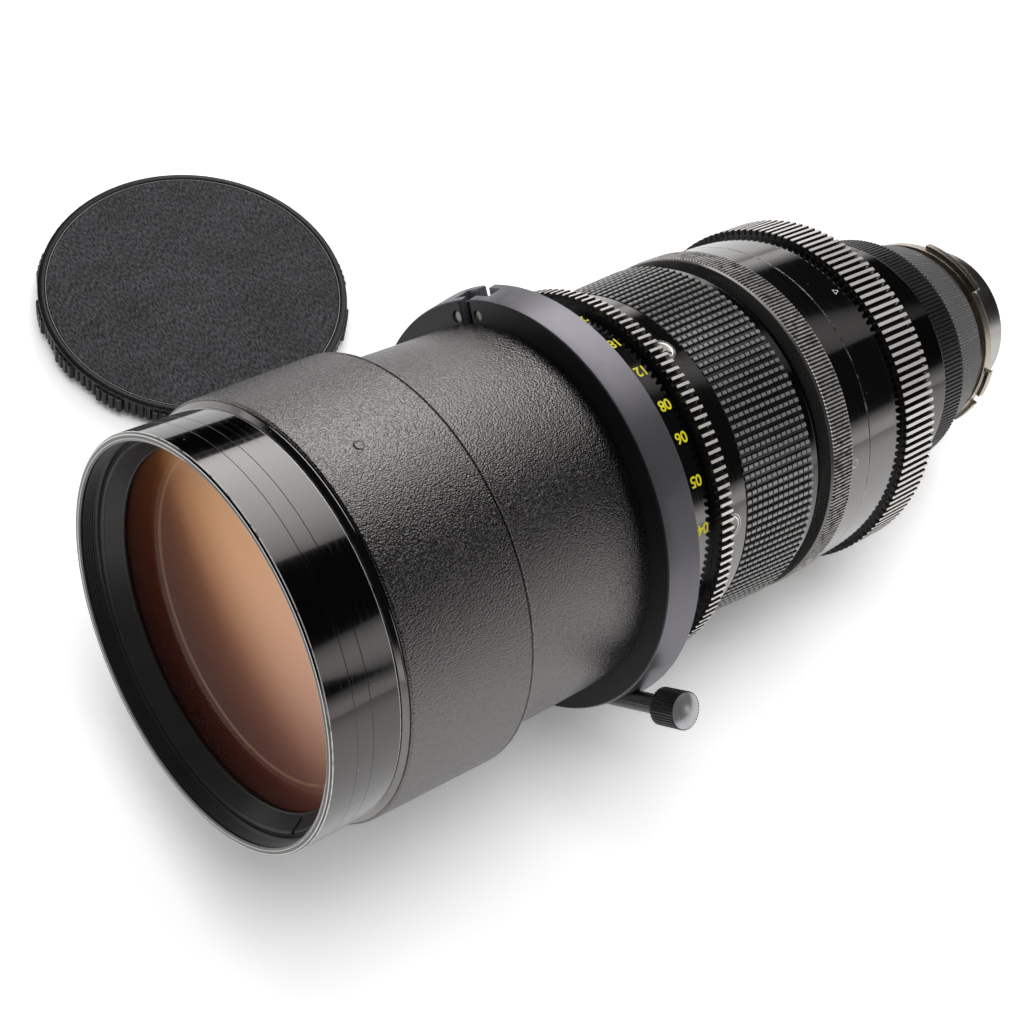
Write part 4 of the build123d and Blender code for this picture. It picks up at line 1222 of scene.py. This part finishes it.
@dataclass
class FocusRing(SubAssembly):
    """The focus ring: gloss scale band, narrow gear, gloss flange with screws and stud grip."""

    body: Body = Body.FOCUS
    rows: int = 134
    studs: int = 13
    base_steps: int = 144
    grip_start: float = 150.4
    grip_end: float = 179.0
    grip_bore: float = 49.55
    skin_start: float = 52.3
    skin_end: float = 53.9
    figure_size: float = 4.5
    figure_station: float = 130.75
    figures: tuple[tuple[float, str], ...] = (
        (37.5, "04"), (52.2, "05"), (65.5, "06"), (76.0, "08"), (88.3, "12"), (100.5, "18"),
        (115.0, "24"), (131.0, "36"), (149.0, "60"),
    )

    def grip_base(self) -> tuple[Array, Array]:
        """The cone that carries the studs.

        Returns:
            Its points and its faces.
        """
        corners = [
            (self.grip_start, self.grip_bore), (self.grip_start, self.skin_start),
            (self.grip_end, self.skin_end), (self.grip_end, self.grip_bore),
        ]
        section, _ = filleted(corners, 0.15)
        angle = once_round(self.base_steps)[None, :]
        points = AXIS.place(section[:, :1], section[:, 1:], angle).reshape(-1, 3)
        return points, facing_out(points, loop_quads(len(section), self.base_steps))

    def grip(self) -> Piece:
        """The grip: a cone with rows of small four-sided studs.

        Stud number (i, j) stands at angle 360 i / rows and station start + (j + 1/2) pitch, and
        is a frustum whose rings shrink with height.

        Returns:
            The cone and its studs as one piece.
        """
        length = self.grip_end - self.grip_start
        pitch = (length - 0.6) / self.studs
        station = self.grip_start + 0.3 + (np.arange(self.studs) + 0.5) * pitch
        half_s, half_t = np.array([1.05, 0.9, 0.7]), np.array([0.98, 0.66, 0.42])
        sign = np.array([(-1, -1), (1, -1), (1, 1), (-1, 1)], float)
        corner_s = (half_s[:, None] * sign[None, :, 0]).reshape(-1)
        corner_t = (half_t[:, None] * sign[None, :, 1]).reshape(-1)
        lift = np.repeat([-0.25, 0.72, 1.05], 4)
        grid_turn, grid_station = np.meshgrid(once_round(self.rows), station, indexing="ij")
        all_station = grid_station[..., None] + corner_s
        rise = (self.skin_end - self.skin_start) * (all_station - self.grip_start) / length
        all_turn = grid_turn[..., None] + np.degrees(corner_t / 54.0)
        points = AXIS.place(all_station, self.skin_start + rise + lift, all_turn).reshape(-1, 3)
        walls = [
            (low + k, low + (k + 1) % 4, low + 4 + (k + 1) % 4, low + 4 + k)
            for low in (0, 4)
            for k in range(4)
        ]
        shape = np.array([*walls, (8, 9, 10, 11)])
        count = self.rows * self.studs
        base, base_quads = self.grip_base()
        quads = (shape[None] + np.arange(count)[:, None, None] * 12).reshape(-1, 4) + len(base)
        wear = np.tile(np.repeat([0.0, 0.2, 1.0], 4), count)
        return build_piece(
            "focus_grip_piece",
            np.concatenate([base, points]),
            np.concatenate([base_quads, quads]),
            np.concatenate([np.zeros(len(base)), wear]),
            closed=False,
        )

    def figure(self, angle: float, text: str) -> Piece:
        """A distance figure, bent onto the band and standing out by a hair.

        A flat point (u, v) goes to station middle - u and angle minus v over the radius.

        Args:
            angle: Angle of the figure's middle.
            text: What it says.

        Returns:
            The figure.
        """
        curve = bpy.data.curves.new(f"figure_{text}", "FONT")
        curve.body = text
        curve.size = self.figure_size
        curve.align_x = "CENTER"
        curve.align_y = "CENTER"
        curve.space_character = 0.95
        curve.offset = 0.09
        curve.extrude = 0.03
        flat = put_in_scene(f"figure_{text}", curve)
        bpy.context.view_layer.update()
        seen = flat.evaluated_get(bpy.context.evaluated_depsgraph_get())
        mesh = bpy.data.meshes.new_from_object(seen)
        bpy.data.objects.remove(flat)
        points = np.empty(len(mesh.vertices) * 3, np.float32)
        mesh.vertices.foreach_get("co", points)
        u, v, out = points.reshape(-1, 3).astype(float).T
        turn = angle - np.degrees(v / BAND_SKIN)
        bent = AXIS.place(self.figure_station - u, BAND_SKIN + 0.02 + out, turn)
        mesh.vertices.foreach_set("co", bent.astype(np.float32).reshape(-1))
        mesh.update()
        return put_in_scene(f"focus_figure_{text}", mesh)

    def build(self) -> None:
        """Make and dress the pieces."""
        band = [(119.1, TUBE_BORE), (119.1, BAND_SKIN), (135.2, BAND_SKIN), (135.2, TUBE_BORE)]
        self.dress(ring("scale_band_piece", band), "polished_black", "gloss_black")
        gear = toothed(
            "focus_gear_piece", start=135.2, width=5.0, bore=SLEEVE_BORE, tip=57.6, depth=1.8,
            count=142, half_widths=(0.4, 0.36, 0.19, 0.16), heights=GEAR_FLANK, chamfer=0.22,
        )
        self.dress(gear, "gear_black", "black_anodised")
        self.dress(self.grip(), "grip_studs", "black_anodised")
        self.keep("polished_black", "focus_sleeve")
        sixths = tuple(32.6 + 60.0 * n for n in range(6))
        self.dress(screw_heads("focus_screws_piece", 144.1, sixths, 53.22, 3.8), "screw_steel")
        for piece in [self.figure(angle, text) for angle, text in self.figures]:
            self.dress(piece, "yellow_paint", "gloss_black")


@dataclass
class ZoomRing(SubAssembly):
    """The fixed band in front of the zoom ring, its drum, fine ribbed ring and wide gear."""

    body: Body = Body.ZOOM
    bore: float = TUBE_BORE
    skin: float = BAND_SKIN

    def build(self) -> None:
        """Make and dress the pieces."""
        band = [
            (179.3, self.bore), (179.3, 53.4), (182.5, 53.4), (182.5, 50.8), (186.7, 50.8),
            (186.7, self.bore),
        ]
        band = ring("middle_band_piece", band, 0.2, [0, 0.3, 0.2, 0, 0, 0])
        self.dress(band, "gloss_black", body=Body.LENS)
        drum = [
            (187.0, self.bore), (187.0, 50.0), (197.0, 50.0), (197.0, self.skin),
            (206.4, self.skin), (206.45, 54.1), (206.65, 54.1), (206.7, self.skin),
            (222.4, self.skin), (222.4, 51.0), (236.9, 51.0), (236.9, self.bore),
        ]
        drum = ring("zoom_drum_piece", drum, 0.12, [0, 0, 0, 0.2, 0.5, 0, 0, 0.5, 0, 0, 0, 0])
        self.dress(drum, "polished_black", "gloss_black")
        knurl = toothed(
            "knurled_ring_piece", start=187.9, width=9.1, bore=SLEEVE_BORE, tip=55.4, depth=0.5,
            count=292, half_widths=(0.12,), chamfer=0.3, end_wear=1.0, tip_wear=0.62,
        )
        self.dress(knurl, "dark_ribs", "black_anodised")
        lip = [(187.0, SLEEVE_BORE), (187.0, 54.85), (187.9, 55.2), (187.9, SLEEVE_BORE)]
        self.dress(ring("knurled_ring_lip", lip, 0.15), "dark_rim", "black_anodised")
        gear = toothed(
            "zoom_gear_piece", start=222.4, width=14.5, bore=51.05, tip=56.4, depth=1.8,
            count=139, half_widths=(0.38, 0.35, 0.235, 0.205), heights=GEAR_FLANK, chamfer=0.25,
        )
        self.dress(gear, "gear_black", "black_anodised")
        heads = screw_heads("zoom_screws_piece", 199.2, (33.8, 153.8, 273.8), 54.32, 1.5, 0.14)
        self.dress(heads, "screw_steel")
        corners = np.array([(216.7, 89.9), (216.7, 87.9), (218.6, 88.9)])
        after = np.roll(corners, -1, 0)
        index = strokes("zoom_index", corners, after, 0.24, lambda station: self.skin + 0 * station)
        self.dress(index, "white_paint", "gloss_black")
        self.keep("inner_black", "cam_drum")


@dataclass
class RearGroup(SubAssembly):
    """The cone behind the zoom gear, the iris ring, its scale and the camera mount."""

    scale_start: float = 277.0
    scale_width: float = 19.4
    scale_skin: float = 38.6
    scale_taper: float = 4.4
    lines: int = 20
    marks: int = 6
    index_angle: float = 34.6

    def cone(self, station: Array) -> Array:
        """Radius of the scale ring at a station."""
        return self.scale_skin - self.scale_taper * (station - self.scale_start) / self.scale_width

    def scale_lines(self) -> Piece:
        """The plain engraved lines of the iris scale: long and short ones, and the index line.

        Line n stands at angle first + n times the step, every fourth one being long.

        Returns:
            All the lines as one piece.
        """
        number, mark = np.arange(self.lines), np.arange(self.marks)
        angle = 50.0 + 3.1 * number
        rear = np.stack([np.full(self.lines, 294.6), angle], 1)
        fore = np.stack([np.where(number % 4 == 0, 286.5, 292.2), angle], 1)
        front = np.stack([np.full(self.marks, 278.4), 56.0 + 9.0 * mark], 1)
        start = np.concatenate([rear, front, [[283.0, self.index_angle]]])
        end = np.concatenate([fore, front + np.array([2.4, 0.0]), [[295.6, self.index_angle]]])
        return strokes("iris_scale_lines", start, end, 0.13, self.cone, 0.03)

    def build(self) -> None:
        """Make and dress the pieces."""
        housing = [
            (229.2, 38.0), (229.2, 45.4), (237.2, 45.4), (237.2, 50.4), (240.2, 50.4),
            (250.2, 42.6), (263.2, 42.6), (263.2, 38.0),
        ]
        worn = [0, 0, 0, 0.2, 0.7, 0.2, 0.2, 0]
        self.dress(ring("rear_housing_piece", housing, 0.3, worn), "gloss_black")
        iris = toothed(
            "iris_ring_piece", start=263.5, width=13.2, bore=36.05, tip=40.8, depth=0.7,
            count=180, half_widths=(0.2,), chamfer=0.3, end_wear=1.0, tip_wear=0.0,
        )
        self.dress(iris, "dark_ribs", "black_anodised", Body.IRIS)
        scale = toothed(
            "scale_ring_piece", start=self.scale_start, width=self.scale_width, bore=33.1,
            tip=self.scale_skin, depth=0.16, count=220, half_widths=(0.3,), chamfer=0.15,
            end_wear=0.3, tip_wear=0.3, taper=self.scale_taper,
        )
        self.dress(scale, "dark_ribs", "black_anodised")
        self.dress(self.scale_lines(), "grey_paint", "black_anodised")
        self.dress(merged_copy("mount_flange", 0.2), "mount_metal")
        self.keep("screw_steel", "mount_screws")
        tube = [
            (283.4, 24.0), (283.4, 26.6), (304.5, 26.6), (304.5, 27.0), (320.5, 27.0),
            (320.9, 26.6), (320.9, 24.4), (320.5, 24.0),
        ]
        self.dress(ring("rear_tube_piece", tube), "tube_metal")
        self.keep("inner_black", "iris_housing", "iris_cover", "rear_cell")
        self.keep("inner_black", "variator_cell", "compensator_cell", "focus_cell")
        self.keep("coated_glass", "rear_glass", "variator_glass")
        self.keep("coated_glass", "compensator_glass", "focus_glass")
        self.keep("blade_steel", *(f"iris_blade_{number}" for number in range(1, 7)))


@dataclass
class FrontCap(SubAssembly):
    """The cap lying beside the lens: ribbed shell, crowned rim and covered top."""

    body: Body = Body.CAP
    centre: tuple[float, float] = (-156.0, 1.0)
    floor_height: float = -1.7365
    ribs: int = 128
    ribs_in_group: int = 4
    tip: float = 54.35
    rib_depth: float = 0.75
    recess: float = 1.0
    edge: float = 53.55

    def upright(self, height: Array, radius: Array, angle: Array) -> Array:
        """Points about the cap's own upright axis.

        Args:
            height: Millimetres over the floor.
            radius: Millimetres from the axis.
            angle: Degrees about the axis.

        Returns:
            Points in metres.
        """
        height, radius, turn = np.broadcast_arrays(height, radius, np.radians(angle))
        x = self.centre[0] + radius * np.cos(turn)
        y = self.centre[1] + radius * np.sin(turn)
        return MM * np.stack([x, y, self.floor_height + height], -1)

    def shell(self) -> Piece:
        """The body: smooth top edge, ribs round the skirt and the spigot under it.

        The ribs' radius is the tip's, less the depth between two ribs, less the recess in every
        other group of ribs. Both ends of the outline are poles on the axis.

        Returns:
            The shell.
        """
        share = np.array([-0.5, -0.4, -0.22, 0.22, 0.4])
        height = np.tile([0.0, 0.0, 1.0, 1.0, 0.0], self.ribs)
        angle = ((np.arange(self.ribs)[:, None] + share[None, :]) * 360 / self.ribs).reshape(-1)
        sunk = np.repeat((np.arange(self.ribs) // self.ribs_in_group) % 2, len(share))
        rib = self.tip - self.rib_depth * (1 - height) - self.recess * sunk
        shoulder = np.maximum(rib - 0.6, self.edge - 0.5)
        rows = [
            (8.6, 46.8, 0.0), (8.4, 47.0, 0.0), (0.2, 47.0, 0.0), (0.0, 47.2, 0.0),
            (0.0, 49.8, 0.0), (0.2, 50.0, 0.0), (2.9, 50.0, 0.0), (3.0, 50.2, 0.0),
            (3.0, rib - 0.3, 0.0), (3.3, rib, 0.4), (3.7, rib, 0.0), (9.3, rib, 0.0),
            (9.7, rib - 0.05, 0.9), (10.0, rib - 0.35, 0.4), (10.2, shoulder, 0.0),
            (10.35, self.edge - 0.1, 0.0), (10.6, self.edge, 0.0), (11.15, self.edge, 0.2),
            (11.45, self.edge - 0.15, 0.6), (11.6, self.edge - 0.45, 0.4), (11.6, 51.6, 0.0),
            (11.5, 51.3, 0.0), (10.4, 51.25, 0.0),
        ]
        columns = len(angle)
        level = np.array([row[0] for row in rows])[:, None]
        radius = np.stack([np.broadcast_to(row[1], columns) for row in rows])
        wear = np.stack([row[2] * (0.4 + 0.6 * height) for row in rows]).reshape(-1)
        points = self.upright(level, radius, angle[None, :]).reshape(-1, 3)
        poles = self.upright(level[[0, -1], 0], np.zeros(2), np.zeros(2))
        return build_piece(
            "cap_shell_piece", np.concatenate([points, poles]), capped_quads(len(rows), columns),
            np.concatenate([wear, [0.0, 0.0]]), sharp=28.0,
        )

    def rim(self) -> Piece:
        """The narrow ring round the covering, its top crowned.

        The crown is half an ellipse: the radius goes with the cosine and the height with the sine.

        Returns:
            The ring.
        """
        swing = np.linspace(pi, 0, 13)
        radius = np.concatenate([[50.42], 50.81 + 0.39 * np.cos(swing), [51.2]])
        height = np.concatenate([[10.42], 11.2 + 0.38 * np.sin(swing), [10.42]])
        points = self.upright(height[:, None], radius[:, None], once_round(STEPS)[None, :])
        return build_piece("cap_rim_piece", points.reshape(-1, 3), loop_quads(len(radius), STEPS))

    def build(self) -> None:
        """Make and dress the pieces."""
        self.dress(self.shell(), "cap_plastic")
        self.dress(self.rim(), "dark_rim", "bright_ring")
        self.keep("cap_cloth", "cap_inlay")


# Room, light and camera


@dataclass(frozen=True)
class Softbox:
    """A rectangle of light that faces a point on the lens."""

    name: str
    azimuth: float
    height: float
    distance: float
    size: tuple[float, float]
    radiance: float
    roll: float = 0.0
    target: tuple[float, float, float] = (0.0, 0.0, 0.08)
    in_gloss: bool = True
    in_dull: bool = True
    lean: float = 0.0

    def fall_off(self, lamp: bpy.types.Light) -> None:
        """Let the cloth be brightest in the middle and lean to one end.

        The strength is 4u(1-u) and 4v(1-v), each to a power, times 1 + lean (2u - 1).

        Args:
            lamp: The light.
        """
        lamp.use_nodes = True
        nodes = Nodes(lamp.node_tree)
        shine = next(node for node in nodes.tree.nodes if node.type == "EMISSION")
        place = nodes.add("NewGeometry").outputs["Parametric"]
        split = nodes.add("SeparateXYZ", {0: place}).outputs
        bells = []
        for axis, power in (("X", 0.15), ("Y", 0.7)):
            left = nodes.maths("MULTIPLY_ADD", split[axis], -4.0, 4.0)
            bells.append(nodes.maths("POWER", nodes.times(split[axis], left), power))
        slope = nodes.maths("MULTIPLY_ADD", split["X"], 2 * self.lean, 1 - self.lean)
        nodes.tree.links.new(nodes.times(nodes.times(*bells), slope), shine.inputs["Strength"])

    def build(self) -> None:
        """Make the lamp at its distance from the target, facing it."""
        lamp = bpy.data.lights.new(self.name, "AREA")
        lamp.shape = "RECTANGLE"
        lamp.size, lamp.size_y = self.size
        lamp.energy = self.radiance * pi * self.size[0] * self.size[1]
        if self.in_gloss:
            self.fall_off(lamp)
        turn, lift = radians(self.azimuth), radians(self.height)
        away = Vector((cos(lift) * cos(turn), cos(lift) * sin(turn), sin(lift)))
        holder = put_in_scene(self.name, lamp)
        holder.location = Vector(self.target) + away * self.distance
        facing = away.to_track_quat("Z", "Y").to_matrix()
        roll = Matrix.Rotation(radians(self.roll), 3, "Z")
        holder.rotation_euler = (facing @ roll).to_euler()
        holder.visible_camera = False
        holder.visible_glossy = self.in_gloss
        holder.visible_diffuse = self.in_dull
        log.info("light %s", self.name)


SOFTBOXES = (
    Softbox("box_left", 133.0, 43.0, 1.2, (1.5, 0.66), 2.5, -46.0, in_dull=False, lean=0.5),
    Softbox("box_left_soft", 133.0, 48.0, 1.4, (1.3, 0.7), 1.2, -46.0, in_gloss=False),
    Softbox("strip_behind", 98.0, 34.0, 1.5, (0.9, 0.26), 0.22, 18.0, (0.0, 0.03, 0.08)),
    Softbox("fill_right", 38.0, 21.5, 1.5, (0.42, 0.6), 0.85, in_dull=False),
    Softbox("key_top", 305.0, 85.0, 2.0, (1.1, 1.1), 4.4, in_gloss=False),
)


@dataclass
class Studio:
    """The pale floor, the surroundings, the soft lights, a black card and the camera.

    The camera's place and directions are in the lens's own frame: across, along and upward.
    """

    floor_height: float = -0.00174
    floor_reach: float = 6.0
    camera_place: tuple[float, float, float] = (155.9, -176.8, 352.6)
    camera_right: tuple[float, float, float] = (0.58840555, 0.73537705, 0.33615399)
    camera_up: tuple[float, float, float] = (-0.74121269, 0.32444765, 0.58765421)
    camera_forward: tuple[float, float, float] = (-0.32308305, 0.5949406, -0.7359776)
    focal_length: float = 58.06

    def sheet(self, name: str, corners: Corners, finish: Finish) -> bpy.types.Object:
        """A flat sheet with one finish.

        Args:
            name: Its name.
            corners: Its four corners in metres.
            finish: Its finish.

        Returns:
            The sheet.
        """
        mesh = bpy.data.meshes.new(name)
        mesh.from_pydata(corners, [], [(0, 1, 2, 3)])
        mesh.materials.append(finish)
        return put_in_scene(name, mesh)

    def floor(self) -> None:
        """A wide pale floor, brighter to the eye and in reflections than in light it passes on."""
        graph = Graph("pale_floor")
        paths = graph.add("LightPath").outputs
        back = graph.maths("MAXIMUM", paths["Is Glossy Ray"], paths["Is Transmission Ray"])
        seen = graph.maths("MAXIMUM", paths["Is Camera Ray"], graph.times(back, 0.15))
        dull = graph.add("BsdfDiffuse", {"Color": (0.9, 0.9, 0.9, 1)})
        light = graph.colours(seen, (0, 0, 0), (0.6, 0.6, 0.6))
        bright = graph.add("BsdfDiffuse", {"Color": light})
        finish = graph.end_in(graph.add("AddShader", {0: dull.outputs[0], 1: bright.outputs[0]}))
        reach, z = self.floor_reach, self.floor_height
        corners = [(-reach, -reach, z), (reach, -reach, z), (reach, reach, z), (-reach, reach, z)]
        self.sheet("floor", corners, finish)

    def world(self) -> None:
        """White to the eye, a soft even light on surfaces, and a dark ceiling in reflections."""
        world = bpy.data.worlds.new("studio")
        bpy.context.scene.world = world
        world.use_nodes = True
        nodes = Nodes(world.node_tree)
        nodes.tree.nodes.clear()
        paths = nodes.add("LightPath").outputs
        place = nodes.add("TexCoord").outputs["Generated"]
        height = nodes.add("SeparateXYZ", {0: place}).outputs["Z"]
        low = nodes.stretch(height, 0.05, 0.17, 1.0, 0.015)
        back = nodes.maths("MAXIMUM", paths["Is Glossy Ray"], paths["Is Transmission Ray"])
        strength = nodes.between(paths["Is Camera Ray"], nodes.between(back, 0.5, low), 1.0)
        background = nodes.add("Background", {"Strength": strength})
        nodes.add("OutputWorld", {0: background.outputs[0]})

    def black_card(self) -> None:
        """A black card left of the lens, out of view, that only the polished rings reflect."""
        graph = Graph("black_card")
        finish = graph.end_in(graph.add("BsdfDiffuse", {"Color": (0.004, 0.004, 0.004, 1)}))
        corners = [(-0.6, 0.14, 0.0), (-0.6, 0.29, 0.0), (-0.6, 0.29, 0.24), (-0.6, 0.14, 0.24)]
        card = self.sheet("black_card", corners, finish)
        card.visible_camera = False
        card.visible_diffuse = False
        card.visible_shadow = False
        card.visible_transmission = False

    def camera(self) -> None:
        """The camera at the photograph's place, from the fit of the lens's own circles."""
        turn = np.stack([AXIS.side, AXIS.along, AXIS.upward], 1)
        place = AXIS.origin + MM * (turn @ np.array(self.camera_place))
        right, up, forward = (
            turn @ np.array(way) for way in (self.camera_right, self.camera_up, self.camera_forward)
        )
        view = bpy.data.cameras.new("camera")
        view.lens = self.focal_length
        view.sensor_width = 36.0
        view.clip_start = 0.01
        view.clip_end = 50.0
        matrix = Matrix(np.stack([right, up, -forward], 1).tolist()).to_4x4()
        matrix.translation = Vector(place)
        holder = put_in_scene("camera", view)
        holder.matrix_world = matrix
        bpy.context.scene.camera = holder

    def build(self) -> None:
        """Set up the whole room."""
        self.floor()
        self.world()
        for box in SOFTBOXES:
            box.build()
        self.black_card()
        self.camera()
        bpy.context.scene.view_settings.view_transform = "Standard"


def main() -> None:
    """Build every sub-assembly in order."""
    logging.basicConfig(level=logging.INFO, format="%(name)s: %(message)s")
    Studio().build()
    finishes = {slot: recipe.build() for slot, recipe in RECIPES.items()}
    for assembly in (FrontGroup, Barrels, Collar, FocusRing, ZoomRing, RearGroup, FrontCap):
        assembly(finishes).build()
        log.info("%s done", assembly.__name__)


if __name__ == "__main__":
    main()
